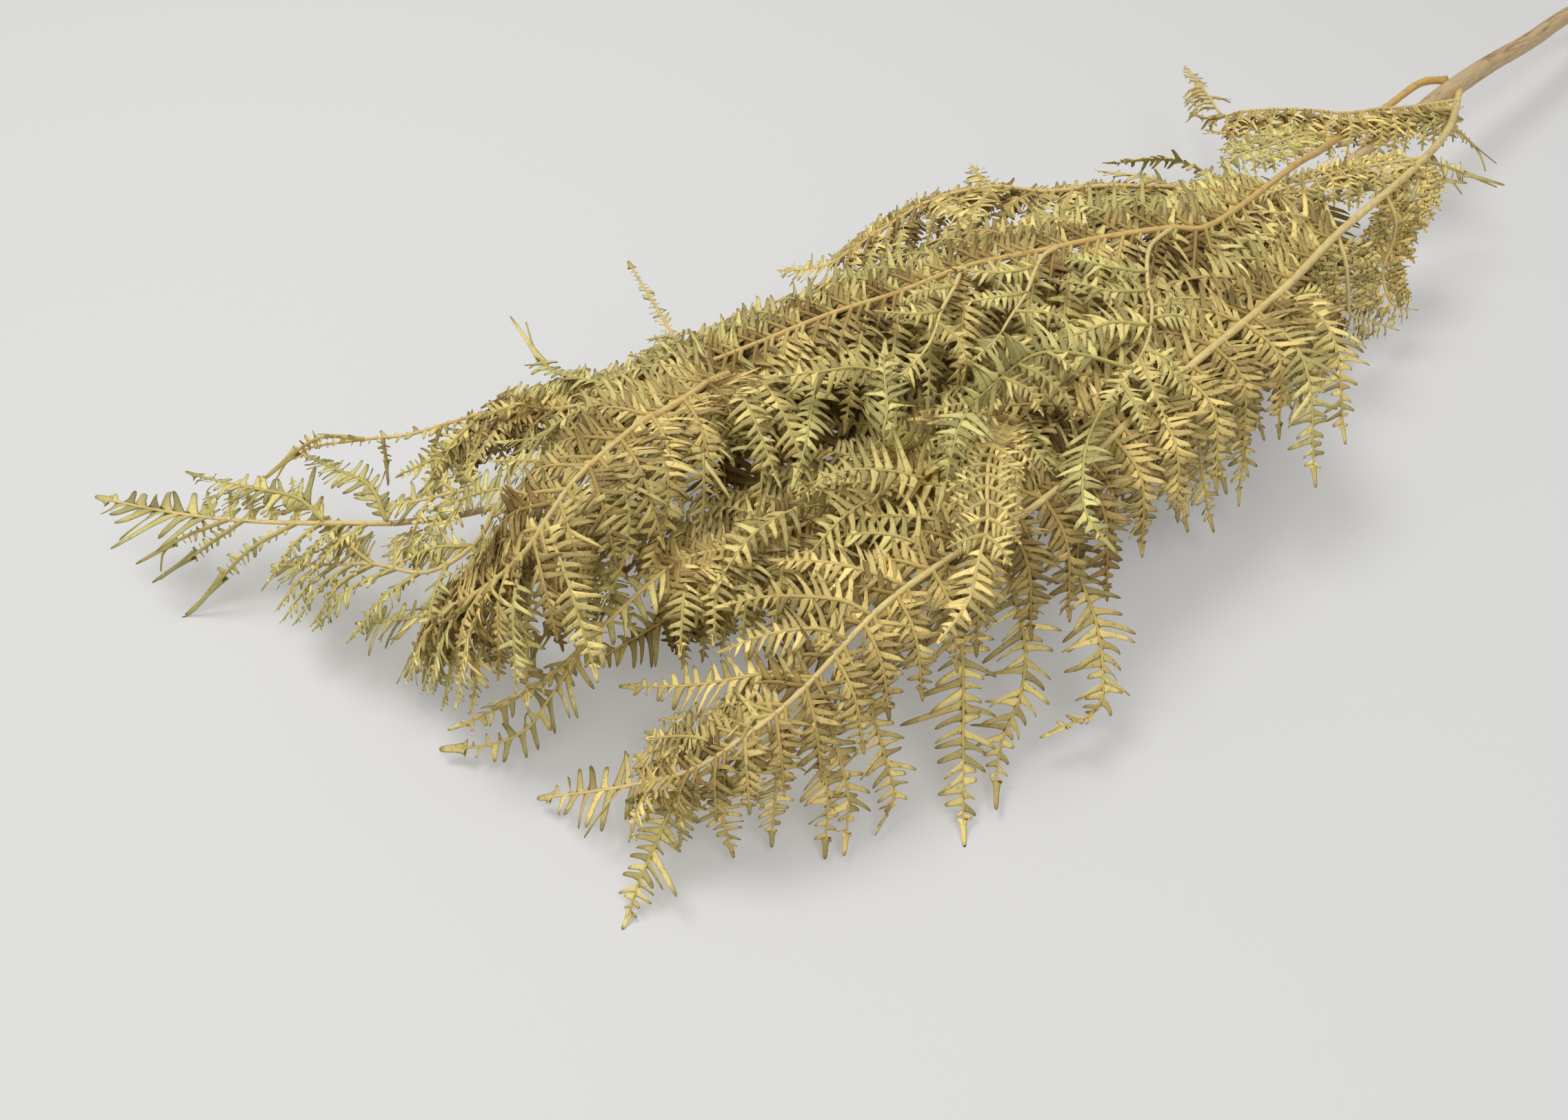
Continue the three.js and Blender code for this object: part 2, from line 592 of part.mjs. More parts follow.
// Pinnules by rule: opposite pairs that get closer and shorter towards the tip.
// The solid carries every second one, in turn on the near and the far side.
function ruledPinnules(parent, spray, seed, taken) {
  const length = parent.curve.getLength();
  const grown = [];
  let distance = spray.first;
  for (let k = 0; distance < spray.tailFrom * length; k += 1) {
    const at = distance / length;
    const reach = interpolate(spray.lengths, at);
    const sign = k % 2 === 0 ? 1 : -1;
    const hang = sign > 0 ? spray.near : spray.far;
    const from = distance;
    const isTaken = taken.some((other) => other.sign === sign
      && Math.abs(other.distance - from) < pinnuleGap(reach));
    if (!isTaken && from >= (hang.first ?? 0)) {
      grown.push(ruledPinnule(parent, at, sign, reach, hang, seed + seeds.pinnule * k));
    }
    distance += pinnuleGap(reach);
  }
  return grown;
}

function ruledPinnule({ curve, spine }, at, sign, reach, hang, seed) {
  const tangent = curve.getTangentAt(at);
  const side = sideOf(curve, at);
  const turn = THREE.MathUtils.degToRad(hang.angle + ruled.turnSpread * (noise(seed) - 0.5));
  const length = reach * (1 + ruled.lengthSpread * (noise(seed + seeds.length) - 0.5));
  const droop = hang.droop + ruled.droopSpread * (noise(seed + seeds.droop) - 0.5);
  const knee = ruled.kneeShare * length;
  const out = tangent.clone().multiplyScalar(Math.cos(turn)).addScaledVector(side, sign * Math.sin(turn));
  const root = new THREE.Vector3(...seatOn(spine, curve.getPointAt(at).toArray()));
  const middle = root.clone().addScaledVector(out, knee).addScaledVector(up, knee * hang.rise);
  const fall = out.clone().addScaledVector(up, -droop).normalize();
  const tip = middle.clone().addScaledVector(fall, ruled.endShare * length);
  middle.z = Math.max(middle.z, tableGap.ruledMiddle);
  tip.z = Math.max(tip.z, tableGap.ruledEnd);
  return {
    points: [root.toArray(), middle.toArray(), tip.toArray()],
    tangent,
    outward: up.clone().addScaledVector(side, sign * Math.min(droop, 1)),
    twist: sign * feather.shingle,
    widthShare: 1,
  };
}

// A pinnule whose route is given, rooted on the nearest of the rods it may grow from
function tracedPinnule(points, parents, widthShare) {
  const parent = parents.map((each) => ({ ...each, ...nearestPlace(each.curve, points[0]) }))
    .sort((a, b) => a.gap - b.gap)[0];
  const tangent = parent.curve.getTangentAt(parent.at);
  const side = sideOf(parent.curve, parent.at);
  const reach = new THREE.Vector3(...points[points.length - 1]).sub(new THREE.Vector3(...points[0]));
  const sign = reach.dot(side) > 0 ? 1 : -1;
  const drop = THREE.MathUtils.clamp(-tracedDrop * reach.z / reach.length(), 0, 1);
  return {
    points: [seatOn(parent.spine, points[0]), ...points.slice(1)],
    curve: parent.curve,
    distance: parent.at * parent.curve.getLength(),
    sign,
    tangent,
    outward: up.clone().addScaledVector(side, sign * drop),
    twist: sign * feather.tracedShingle,
    widthShare,
    isTraced: true,
  };
}

const branchRule = {
  first: 9,
  lengths: [[0, 25], [0.6, 20], [1, 8]],
  hang: { angle: 58, rise: 0.05, droop: 0.35 },
  tailFrom: 0.8,
  tailWidth: 5,
};

function rodRadius(look, place) {
  return THREE.MathUtils.lerp(look.baseRadius, look.tipRadius, place ** look.taper);
}

function flatBlade(curve, shape) {
  return blade(curve, sideOf(curve, 0.5).negate(), 0, shape);
}

// A rod that goes over into one toothed blade for its last stretch
function leafyRod(route, look, tailFrom, tailWidth) {
  const curve = curveOf(route);
  const reach = tailFrom + leafyEnd.overlap / curve.getLength();
  const bare = stretchOf(curve, 0, reach);
  const stalk = rod(bare, (place) => rodRadius(look, place * reach), look.sides, look.step);
  const end = flatBlade(stretchOf(curve, tailFrom, 1), { ...feather, ...leafyEnd, halfWidth: tailWidth });
  return { curve, spine: bare.getSpacedPoints(rodSteps(bare, look.step)), solids: [stalk, end] };
}

// Costa, branches and toothed ends of one pinna
function growFrame(spray) {
  const reach = interpolate(spray.lengths, spray.tailFrom);
  const tailWidth = spray.tailWidth ?? Math.min(leafyEnd.widthLimit, leafyEnd.widthShare * reach);
  const look = { ...costa, baseRadius: spray.radius };
  const main = { ...leafyRod(spray.route, look, spray.tailFrom, tailWidth), rule: spray };
  const twigs = [];
  const leafy = [];
  for (const entry of spray.branches ?? []) {
    const route = [seatOn(main.spine, entry.route[0]), ...entry.route.slice(1)];
    if (entry.leafWidth) {
      leafy.push(flatBlade(curveOf(route), { ...feather, ...leafyBranch, halfWidth: entry.leafWidth }));
    } else {
      const { lengths = branchRule.lengths, hang = branchRule.hang, isBare, isOneSided } = entry;
      const far = isOneSided ? { ...hang, first: Infinity } : hang;
      const rule = { ...branchRule, lengths, near: hang, far };
      twigs.push({ ...leafyRod(route, branch, branchRule.tailFrom, branchRule.tailWidth), rule, isBare });
    }
  }
  const parents = [main, ...twigs];
  return { parents, rods: parents.flatMap((parent) => parent.solids).concat(leafy) };
}

const stemCurve = curveOf(stemRoute);

const leafMaterial = { color: 0xa89a66, roughness: 0.85, metalness: 0 };
const stemMaterial = { color: 0xc6a673, roughness: 0.7, metalness: 0 };

const frond = new THREE.Group();

function largestBody(solid) {
  return solid.decompose().sort((a, b) => b.volume() - a.volume())[0];
}

function addMesh(name, solid, look) {
  const { vertProperties, triVerts } = solid.getMesh();
  const geometry = new THREE.BufferGeometry();
  geometry.setAttribute('position', new THREE.Float32BufferAttribute(vertProperties, 3));
  geometry.setIndex([...triVerts]);
  geometry.translate(-middle.along, -middle.across, 0);
  geometry.computeVertexNormals();
  const mesh = new THREE.Mesh(geometry, new THREE.MeshStandardMaterial(look));
  mesh.name = name;
  frond.add(mesh);
}

// The main stem rests on a small flat under its cut end
const stemPart = stretchOf(stemCurve, 0, stem.partEnd);
const stemRadius = (place) => interpolate(stem.radii, place * stem.partEnd);
const mainStem = rod(stemPart, stemRadius, stem.sides, stem.step).trimByPlane([0, 0, 1], 0);
const sleeve = rod(stemPart, (place) => stemRadius(place) + sleeveGap, stem.sides, stem.step);
place(mainStem, 'main_stem', false);
addMesh('main_stem', mainStem, stemMaterial);

frondTip.route = stretchOf(stemCurve, stem.partEnd + stem.splitGap, 1).points.map((point) => point.toArray());
const sprays = { ...pinnae, frond_tip: frondTip };
const frames = Object.entries(sprays).map(([node, spray]) => ({ node, spray, ...growFrame(spray) }));

for (const frame of frames) {
  frame.rods = frame.rods.map((solid) => place(solid.subtract(sleeve), frame.node, false));
}

// Pinnules with a route of their own are grown first, on every piece, and those by rule where room is left
for (const frame of frames) {
  const { spray, parents, node } = frame;
  const wide = (spray.feathers ?? []).map((points) => tracedPinnule(points, parents, 1));
  const slender = (spray.slender ?? []).map((points) => tracedPinnule(points, parents, feather.slenderShare));
  frame.traced = [...wide, ...slender];
  frame.feathers = frame.traced.map((pinnule) => growFeather(pinnule, node)).filter(Boolean);
}

frames.forEach(({ node, parents, rods, traced, feathers }, i) => {
  parents.filter((parent) => !parent.isBare).forEach((parent, k) => {
    const taken = traced.filter((pinnule) => pinnule.curve === parent.curve);
    const grown = ruledPinnules(parent, parent.rule, seeds.node * i + k, taken);
    feathers.push(...grown.map((pinnule) => growFeather(pinnule, node)).filter(Boolean));
  });
  const joined = largestBody(wasm.Manifold.union([...rods, ...feathers]));
  addMesh(node, joined.simplify(smoothing), leafMaterial);
});

export default frond;
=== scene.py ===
# Dried bracken frond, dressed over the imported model.
# Routes are in millimetres on the frond's own axes; what Blender gets is in metres, with the table at z = 0.
import json
import math

import bmesh
import bpy
import numpy as np
from mathutils import Matrix, Vector

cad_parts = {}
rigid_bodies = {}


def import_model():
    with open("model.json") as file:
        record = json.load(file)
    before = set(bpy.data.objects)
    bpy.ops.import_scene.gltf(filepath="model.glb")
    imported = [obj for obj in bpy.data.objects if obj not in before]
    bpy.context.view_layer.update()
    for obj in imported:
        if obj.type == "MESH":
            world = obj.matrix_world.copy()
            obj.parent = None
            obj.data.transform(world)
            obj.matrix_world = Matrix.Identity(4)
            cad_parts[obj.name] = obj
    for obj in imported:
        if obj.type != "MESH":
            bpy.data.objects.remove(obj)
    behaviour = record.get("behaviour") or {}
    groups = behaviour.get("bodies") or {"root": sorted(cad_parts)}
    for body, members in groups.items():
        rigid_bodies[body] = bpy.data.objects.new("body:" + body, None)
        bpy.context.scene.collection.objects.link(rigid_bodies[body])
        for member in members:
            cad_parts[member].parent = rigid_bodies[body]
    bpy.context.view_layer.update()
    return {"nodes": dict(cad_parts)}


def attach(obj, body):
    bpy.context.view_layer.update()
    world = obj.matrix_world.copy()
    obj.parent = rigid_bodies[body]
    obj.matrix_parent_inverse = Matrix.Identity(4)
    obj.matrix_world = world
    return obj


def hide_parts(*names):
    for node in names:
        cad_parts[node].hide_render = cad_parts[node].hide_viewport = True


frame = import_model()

print("packed model loaded:", len(frame["nodes"]), "nodes")

# The view, the floor and the light
studio = {
    "cameraPlace": (-0.3224, -0.2520, 0.315),
    "headingDegrees": 28,         # to the right of +Y
    "downDegrees": 50,
    "lens": 28,
    "sensor": 36,
    "floorSize": 8.0,
    "floorColor": (194, 194, 194),
    "floorGlow": 0.4,
    "skyColor": (250, 248, 242),
    "skyStrength": 0.34,
    "lamps": [                    # place, size, watts
        {"place": (-0.55, 0.45, 1.5), "aim": (0.0, 0.0, 0.0), "size": 0.7, "watts": 12},
        {"place": (-0.2, -0.7, 1.6), "aim": (0.0, 0.0, 0.0), "size": 0.9, "watts": 7.5},
    ],
}

toMetres = 0.001
packedMiddle = np.array([10.4, -2.0, 0.0])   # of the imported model, on the routes' axes
upward = np.array([0.0, 0.0, 1.0])

# Routes run from root to tip: along the frond, across it, height above the table, in millimetres.
stemRoute = [
    [400, 107, 2.8], [372, 102, 7], [340, 95, 18], [301, 84, 30], [254, 70, 34], [218, 61, 37], [184, 51, 40],
    [116, 32, 42], [46, 10, 42], [9, 2, 40], [-45, 4, 38], [-99, 11, 38], [-148, 23, 42], [-204, 14, 45],
    [-250, 5, 45], [-288, 11, 42], [-318, 31, 36], [-342, 49, 32], [-361, 65, 30], [-380, 84, 28],
]


# A side of a costa: its pinnules' angle from the costa in degrees, their rise and droop as slopes, and where
# along the costa they start
def hanging(angle, rise, droop, first=0):
    return {"angle": angle, "rise": rise, "droop": droop, "first": first}


# A pinna has a costa with pinnules on both sides. Its lengths are pairs of place along the costa (0 to 1)
# and pinnule length. Its feathers are pinnules with a route of their own, slender ones have short leaflets,
# hooks are slender and small, and riders grow on another feather's rib. Its branches are pinnules divided
# once more. Its tail, from tailFrom on, has leaflets in place of pinnules.
# Tone is 0 for golden straw and 1 for grey green, and the costa's is 0 for pale cream and 1 for orange straw.
# Fineness is the width and the pitch of its leaflets, as shares of what the rule gives. A costa that stays
# thick for long has a high taper. Bare shares are of the feathers that others ride on, by their number.
pinnae = {
    "near_pinna_1": {
        "route": [[179, 46, 41], [134, 16, 50], [86, -6, 58], [25, -28, 64], [-15, -44, 66], [-62, -58, 66],
                  [-95, -67, 62], [-125, -76, 58], [-148, -81, 57], [-171, -84, 57], [-196, -89, 55],
                  [-224, -98, 48], [-242, -100, 42], [-257, -98, 34], [-273, -86, 20], [-292, -71, 6]],
        "radius": 1.45, "first": 26, "tailFrom": 0.93, "tail": {"pitch": 4.2, "leafletShare": 0.8},
        "taper": 3, "tone": 0.2, "costaTone": 0.1, "fineness": (0.88, 0.94), "twigTails": {0: 3.2},
        "lengths": [[0, 46], [0.3, 58], [0.55, 66], [0.8, 40], [1, 6]],
        "near": hanging(62, 0.05, 1.35, 214), "far": hanging(48, 0.2, 0.35, 168),
        "branches": [
            {"route": [[168, 40, 44], [138, 37, 49], [119, 39, 52], [101, 41, 54], [89, 48, 55], [79, 56, 54],
                       [69, 65, 51], [65, 70, 48], [75, 88, 44], [88, 109, 38], [103, 132, 30]],
             "lengths": [[0, 16], [0.25, 21], [0.5, 17], [0.7, 11], [1, 5]],
             "hang": hanging(72, -0.3, 1.8), "isOneSided": True},
            {"route": [[101, 1, 56], [77, 1, 60], [59, 2, 62], [43, 3, 62], [32, 6, 60], [27, 10, 56],
                       [25, 14, 50]],
             "lengths": [[0, 12], [0.5, 15], [1, 6]], "hang": hanging(70, -0.1, 1.2)},
            {"route": [[98, -1, 56], [89, -9, 52], [79, -14, 42], [74, -18, 30], [85, -24, 18]],
             "leafWidth": 11},
            {"route": [[63, -15, 60], [65, -21, 54], [67, -23, 44], [63, -27, 34], [65, -35, 24],
                       [81, -36, 16]], "leafWidth": 11},
            {"route": [[24, -30, 64], [24, -36, 58], [27, -40, 46], [32, -41, 36], [48, -40, 26],
                       [63, -43, 18]], "leafWidth": 11},
            {"route": [[-16, -44, 66], [-12, -50, 60], [-9, -55, 48], [-9, -60, 34], [-10, -62, 20]],
             "leafWidth": 11},
        ],
        "feathers": [
            [[-55, -56, 66], [-49, -64, 54], [-45, -72, 34], [-47, -80, 14]],
            [[-75, -62, 64], [-71, -72, 52], [-65, -76, 32], [-61, -84, 12]],
            [[-95, -67, 62], [-86, -74, 52], [-76, -76, 34], [-70, -81, 14]],
            [[-111, -72, 60], [-94, -75, 48], [-86, -76, 32], [-91, -77, 18]],
            [[-130, -77, 58], [-129, -86, 52], [-132, -98, 42], [-133, -109, 34], [-137, -120, 26],
             [-142, -126, 18], [-158, -124, 14]],
            [[-152, -81, 57], [-153, -90, 48], [-153, -98, 38], [-154, -105, 29], [-160, -113, 20],
             [-170, -120, 11], [-179, -132, 4]],
            [[-176, -86, 57], [-175, -95, 48], [-175, -102, 38], [-180, -113, 24], [-192, -136, 0]],
            [[-193, -89, 55], [-193, -95, 48], [-195, -98, 40], [-197, -98, 30]],
            [[-210, -94, 52], [-206, -100, 42], [-205, -106, 30], [-205, -115, 17], [-206, -120, 10],
             [-213, -123, 4]],
            [[-224, -98, 48], [-223, -102, 39], [-223, -108, 28], [-224, -114, 16], [-229, -122, 3]],
            [[-235, -99, 45], [-235, -103, 37], [-236, -107, 26], [-238, -109, 16], [-241, -113, 5]],
            [[-246, -100, 40], [-243, -103, 30], [-241, -108, 18]],
            [[-252, -99, 37], [-251, -104, 26], [-252, -106, 15], [-252, -111, 5]],
            [[-257, -98, 34], [-265, -101, 24], [-271, -104, 16], [-278, -108, 9], [-286, -114, 0]],
            [[-260, -96, 32], [-260, -99, 22], [-264, -103, 8]],
            [[-185, -87, 56], [-192, -81, 60], [-202, -73, 62], [-214, -62, 58]],
            [[-198, -90, 55], [-203, -84, 58], [-214, -78, 60], [-223, -72, 58], [-233, -67, 54]],
            [[-207, -93, 53], [-212, -88, 56], [-220, -85, 57], [-228, -81, 54], [-238, -78, 50]],
            [[-221, -97, 48], [-225, -92, 50], [-231, -88, 48], [-239, -83, 44], [-247, -76, 38],
             [-261, -63, 30]],
            [[-233, -99, 45], [-240, -96, 44], [-246, -87, 38], [-256, -78, 30]],
            [[-218, -97, 49], [-218, -104, 36], [-218, -111, 24], [-219, -117, 14], [-224, -124, 4]],
        ],
        "slender": [
            [[139, 19, 48], [150, 17, 42], [156, 12, 36], [157, 6, 30]],
            [[100, -2, 55], [117, -1, 48], [133, -3, 40], [149, -6, 32]],
            [[96, -4, 52], [111, -3, 46], [123, -2, 40], [129, -5, 34]],
        ],
        "hooks": [
            [[64, 69, 48], [60, 74, 46], [61, 83, 44]],
            [[64, 67, 48], [60, 62, 46], [59, 72, 42]],
            [[76, 89, 44], [82, 88, 42], [86, 86, 40]],
        ],
    },
    "far_pinna_1": {
        "route": [[177, 53, 43], [163, 55, 44], [134, 47, 44], [103, 38, 46], [80, 28, 53], [59, 16, 62],
                  [34, 5, 70], [-23, -15, 76], [-40, -12, 78], [-64, -7, 79], [-88, -3, 79], [-110, 2, 78],
                  [-136, 3, 76], [-158, 7, 73], [-192, 10, 68], [-213, 17, 62], [-234, 25, 56],
                  [-263, 40, 50], [-285, 45, 47], [-299, 53, 44], [-315, 69, 34], [-321, 73, 28]],
        "radius": 1.75, "first": 70, "tailFrom": 0.85, "tailWidth": 2.4, "tail": {"pitch": 3.4}, "taper": 0.8,
        "tone": 0.62, "costaTone": 0.85, "fineness": (0.78, 0.88), "bareShares": {9: 0.12}, "isWebbed": True,
        "lengths": [[0, 52], [0.4, 48], [0.7, 34], [1, 6]],
        "near": hanging(58, -0.4, 0.9, 186), "far": hanging(50, 0.05, 0.75, 178),
        "branches": [
            {"route": [[-39, -12, 78], [-53, -18, 78], [-65, -33, 76], [-68, -39, 75], [-78, -50, 73],
                       [-90, -57, 71], [-104, -63, 68]], "isBare": True},
            {"route": [[-79, -5, 79], [-89, -8, 80], [-103, -20, 80], [-114, -27, 79], [-121, -31, 77],
                       [-130, -33, 74]], "isBare": True},
            {"route": [[-111, 2, 78], [-120, -6, 79], [-130, -14, 79], [-136, -20, 78], [-143, -25, 76],
                       [-154, -28, 72]], "isBare": True},
            {"route": [[99, 36, 48], [78, 39, 52], [55, 36, 55], [40, 34, 57], [28, 32, 56]],
             "lengths": [[0, 12], [0.6, 14], [1, 6]], "hang": hanging(62, 0, 0.5)},
        ],
        "feathers": [
            [[-61, -27, 77], [-72, -22, 80], [-78, -15, 80], [-81, -6, 76]],
            [[-65, -33, 76], [-79, -32, 80], [-85, -25, 80], [-89, -14, 76]],
            [[-73, -45, 74], [-87, -42, 78], [-103, -41, 78], [-113, -30, 74]],
            [[-68, -39, 75], [-59, -41, 74], [-47, -43, 68]],
            [[-71, -43, 74], [-63, -45, 74], [-57, -49, 70], [-54, -53, 62]],
            [[-80, -51, 73], [-78, -60, 71], [-75, -66, 66], [-69, -70, 60]],
            [[-84, -54, 72], [-88, -65, 71], [-89, -77, 64]],
            [[-94, -59, 71], [-96, -69, 69], [-96, -77, 62]],
            [[-102, -62, 68], [-118, -74, 70], [-128, -85, 70], [-134, -95, 68], [-133, -107, 64]],
            [[-88, -56, 71], [-103, -47, 76], [-118, -45, 80], [-138, -52, 82], [-151, -58, 81],
             [-159, -65, 78], [-170, -77, 70]],
            [[-92, -10, 80], [-104, -11, 82], [-111, -7, 82], [-115, 2, 79]],
            [[-103, -20, 80], [-113, -20, 82], [-123, -15, 80]],
            [[-111, -25, 79], [-103, -31, 80], [-95, -36, 76]],
            [[-120, -30, 77], [-116, -39, 76], [-112, -47, 70]],
            [[-120, -6, 79], [-129, -6, 81], [-136, -5, 80], [-138, -4, 76]],
            [[-130, -14, 79], [-139, -14, 81], [-147, -4, 78]],
            [[-134, -18, 78], [-132, -26, 78], [-133, -33, 74], [-136, -36, 68]],
            [[-154, -28, 72], [-163, -22, 76], [-175, -18, 76], [-188, -9, 72]],
            [[-263, 40, 50], [-277, 37, 44], [-288, 33, 34]],
        ],
        "slender": [
            [[-276, 43, 48], [-280, 42, 42], [-282, 44, 34]],
            [[-293, 50, 44], [-295, 50, 36], [-297, 47, 28]],
            [[-299, 53, 44], [-310, 58, 46], [-321, 66, 36], [-330, 72, 22]],
        ],
        "riders": [
            [[-113, -45, 79], [-110, -50, 78], [-107, -53, 74]],
            [[-125, -47, 81], [-121, -54, 80], [-117, -61, 75], [-117, -66, 68]],
            [[-133, -51, 82], [-128, -57, 80], [-126, -62, 74]],
            [[-81, -52, 73], [-77, -58, 72], [-74, -63, 68], [-76, -71, 62]],
        ],
    },
    "near_pinna_2": {
        "route": [[36, 5, 41], [15, -6, 46], [-15, -25, 50], [-40, -39, 50], [-78, -50, 50], [-118, -53, 52],
                  [-157, -55, 54], [-191, -52, 54], [-217, -51, 55], [-236, -49, 56], [-257, -53, 50],
                  [-265, -53, 44], [-273, -54, 36], [-282, -55, 26], [-289, -55, 18], [-299, -50, 10],
                  [-311, -42, 5]],
        "radius": 1.35, "first": 34, "tailFrom": 0.75, "tail": {"pitch": 4.8, "leafletShare": 0.75},
        "tone": 0.45, "costaTone": 0.6, "fineness": (0.88, 0.9), "hasCurtains": True,
        "lengths": [[0, 34], [0.3, 46], [0.6, 42], [0.85, 16], [1, 8]],
        "near": hanging(60, -0.1, 0.9), "far": hanging(52, -0.1, 0.3),
        "feathers": [
            [[-78, -50, 50], [-106, -55, 60], [-131, -61, 64], [-150, -62, 60]],
            [[-262, -53, 45], [-276, -54, 38], [-291, -54, 32], [-308, -51, 26]],
            [[-255, -53, 50], [-266, -40, 38], [-280, -35, 28], [-293, -30, 22]],
        ],
        "riders": [
            [[-118, -53, 52], [-126, -52, 60], [-139, -58, 66], [-152, -70, 66]],
            [[-100, -52, 52], [-118, -60, 60], [-138, -68, 62], [-156, -80, 56]],
            [[-150, -55, 54], [-168, -57, 60], [-188, -59, 61], [-208, -66, 55]],
            [[-180, -53, 54], [-198, -51, 61], [-216, -54, 61], [-232, -62, 55]],
        ],
    },
    "far_pinna_2": {
        "route": [[33, 10, 43], [22, 22, 54], [-2, 26, 60], [-26, 36, 62], [-45, 44, 61], [-60, 57, 60],
                  [-81, 65, 56], [-102, 69, 46], [-119, 75, 34], [-130, 92, 24]],
        "radius": 1.1, "first": 24, "tailFrom": 0.85, "tone": 0.6, "costaTone": 0.3, "fineness": (0.7, 0.84),
        "isWebbed": True,
        "lengths": [[0, 44], [0.4, 48], [0.8, 26], [1, 8]],
        "near": hanging(55, 0, 0.45), "far": hanging(52, -0.55, 1.0),
        "feathers": [
            [[23, 21, 54], [20, 35, 56], [13, 46, 56], [0, 64, 48]],
            [[-2, 26, 60], [-9, 33, 62], [-15, 52, 56]],
            [[-60, 57, 60], [-84, 39, 64], [-103, 32, 62], [-117, 35, 54]],
            [[-81, 65, 56], [-85, 44, 64], [-83, 30, 62]],
        ],
        "riders": [
            [[-60, 57, 60], [-59, 64, 58], [-53, 80, 54]],
        ],
    },
    "near_pinna_3": {
        "route": [[-56, 5, 38], [-92, -28, 52], [-124, -48, 62], [-144, -64, 70], [-156, -78, 75],
                  [-164, -90, 74], [-172, -98, 70], [-177, -103, 64], [-188, -107, 58]],
        "radius": 1.1, "first": 30, "tailFrom": 0.85, "tone": 0.35, "costaTone": 0.4,
        "fineness": (0.88, 0.92), "hasCurtains": True,
        "lengths": [[0, 34], [0.4, 36], [0.62, 12], [1, 9]],
        "near": hanging(60, 0, 0.6), "far": hanging(60, 0, 0.4),
    },
    "far_pinna_3": {
        "route": [[-74, 9, 40], [-103, 15, 51], [-132, 15, 58], [-153, 15, 60], [-171, 19, 60],
                  [-185, 21, 58], [-195, 31, 54], [-195, 46, 52], [-192, 70, 48], [-188, 100, 42]],
        "radius": 1.1, "first": 22, "tailFrom": 0.72, "tailWidth": 2.4, "tone": 0.55, "costaTone": 0.5,
        "fineness": (0.75, 0.86), "isWebbed": True,
        "lengths": [[0, 40], [0.4, 38], [0.65, 12], [1, 3]],
        "near": hanging(55, 0, 0.3), "far": hanging(60, 0, 1.3),
        "feathers": [
            [[-153, 15, 60], [-166, -3, 63], [-177, -18, 63], [-186, -30, 60], [-194, -37, 54]],
        ],
    },
    "near_pinna_4": {
        "route": [[-82, 4, 38], [-109, -20, 44], [-139, -32, 46], [-171, -40, 44], [-199, -46, 40],
                  [-222, -46, 34], [-241, -44, 26], [-263, -41, 16]],
        "radius": 1.1, "first": 30, "tailFrom": 0.85, "tone": 0.6, "costaTone": 0.5, "fineness": (0.85, 0.9),
        "isWebbed": True, "hasCurtains": True,
        "lengths": [[0, 38], [0.4, 44], [0.8, 20], [1, 8]],
        "near": hanging(60, -0.1, 0.5), "far": hanging(55, 0, 0.2),
        "feathers": [
            [[-150, -35, 46], [-164, -45, 62], [-169, -45, 70], [-164, -39, 74], [-158, -27, 76],
             [-151, -16, 76]],
            [[-144, -34, 46], [-161, -58, 62], [-173, -56, 68], [-184, -52, 70], [-194, -50, 68],
             [-199, -51, 64], [-201, -53, 56]],
        ],
    },
    "far_pinna_4": {
        "route": [[-170, 24, 44], [-190, 18, 54], [-209, 12, 58], [-224, 19, 58], [-241, 24, 56],
                  [-256, 34, 52], [-267, 38, 46], [-281, 37, 36], [-288, 38, 28]],
        "radius": 1, "first": 20, "tailFrom": 0.85, "tone": 0.65, "costaTone": 0.4, "fineness": (0.78, 0.84),
        "isWebbed": True,
        "lengths": [[0, 36], [0.4, 40], [0.8, 22], [1, 8]],
        "near": hanging(55, 0, 0.3), "far": hanging(55, -0.1, 1.4),
        "feathers": [
            [[-245, 26, 56], [-254, 30, 58], [-265, 34, 54]],
            [[-267, 38, 46], [-280, 37, 42], [-294, 43, 34]],
        ],
        "slender": [
            [[-213, 14, 58], [-223, 20, 60], [-232, 29, 60], [-238, 42, 56], [-238, 60, 50], [-233, 87, 42]],
        ],
    },
    "near_pinna_5": {
        "route": [[-162, 19, 44], [-180, 11, 58], [-199, 2, 68], [-211, -6, 73], [-223, -12, 76],
                  [-230, -15, 78], [-244, -23, 80], [-255, -29, 80], [-265, -34, 76], [-274, -36, 68],
                  [-287, -31, 54], [-302, -19, 38], [-321, 1, 22]],
        "radius": 1.15, "first": 20, "tailFrom": 0.84, "taper": 1.6, "tone": 0.45, "costaTone": 0.35,
        "fineness": (0.96, 0.8),
        "lengths": [[0, 44], [0.4, 52], [0.75, 34], [1, 8]],
        "near": hanging(58, 0.05, 0.9), "far": hanging(50, 0, 0.7),
        "feathers": [
            [[-177, 16, 52], [-191, -13, 62], [-198, -26, 62], [-203, -35, 58], [-209, -43, 50]],
            [[-212, -7, 73], [-215, -21, 74], [-220, -33, 70], [-224, -40, 62], [-228, -44, 54]],
            [[-230, -16, 78], [-231, -28, 79], [-232, -36, 76], [-235, -41, 68], [-241, -44, 58],
             [-247, -48, 48]],
            [[-244, -23, 80], [-245, -35, 81], [-246, -42, 77], [-249, -46, 68], [-254, -48, 58],
             [-261, -50, 50]],
            [[-256, -30, 80], [-256, -39, 80], [-258, -43, 72], [-261, -44, 60], [-264, -44, 52]],
            [[-252, -27, 80], [-259, -20, 80], [-264, -12, 76], [-271, -2, 70]],
            [[-263, -32, 78], [-271, -21, 76], [-277, -12, 70], [-288, -2, 60]],
            [[-244, -23, 80], [-245, -14, 76], [-252, 1, 68], [-265, 17, 58]],
        ],
    },
    "far_pinna_5": {
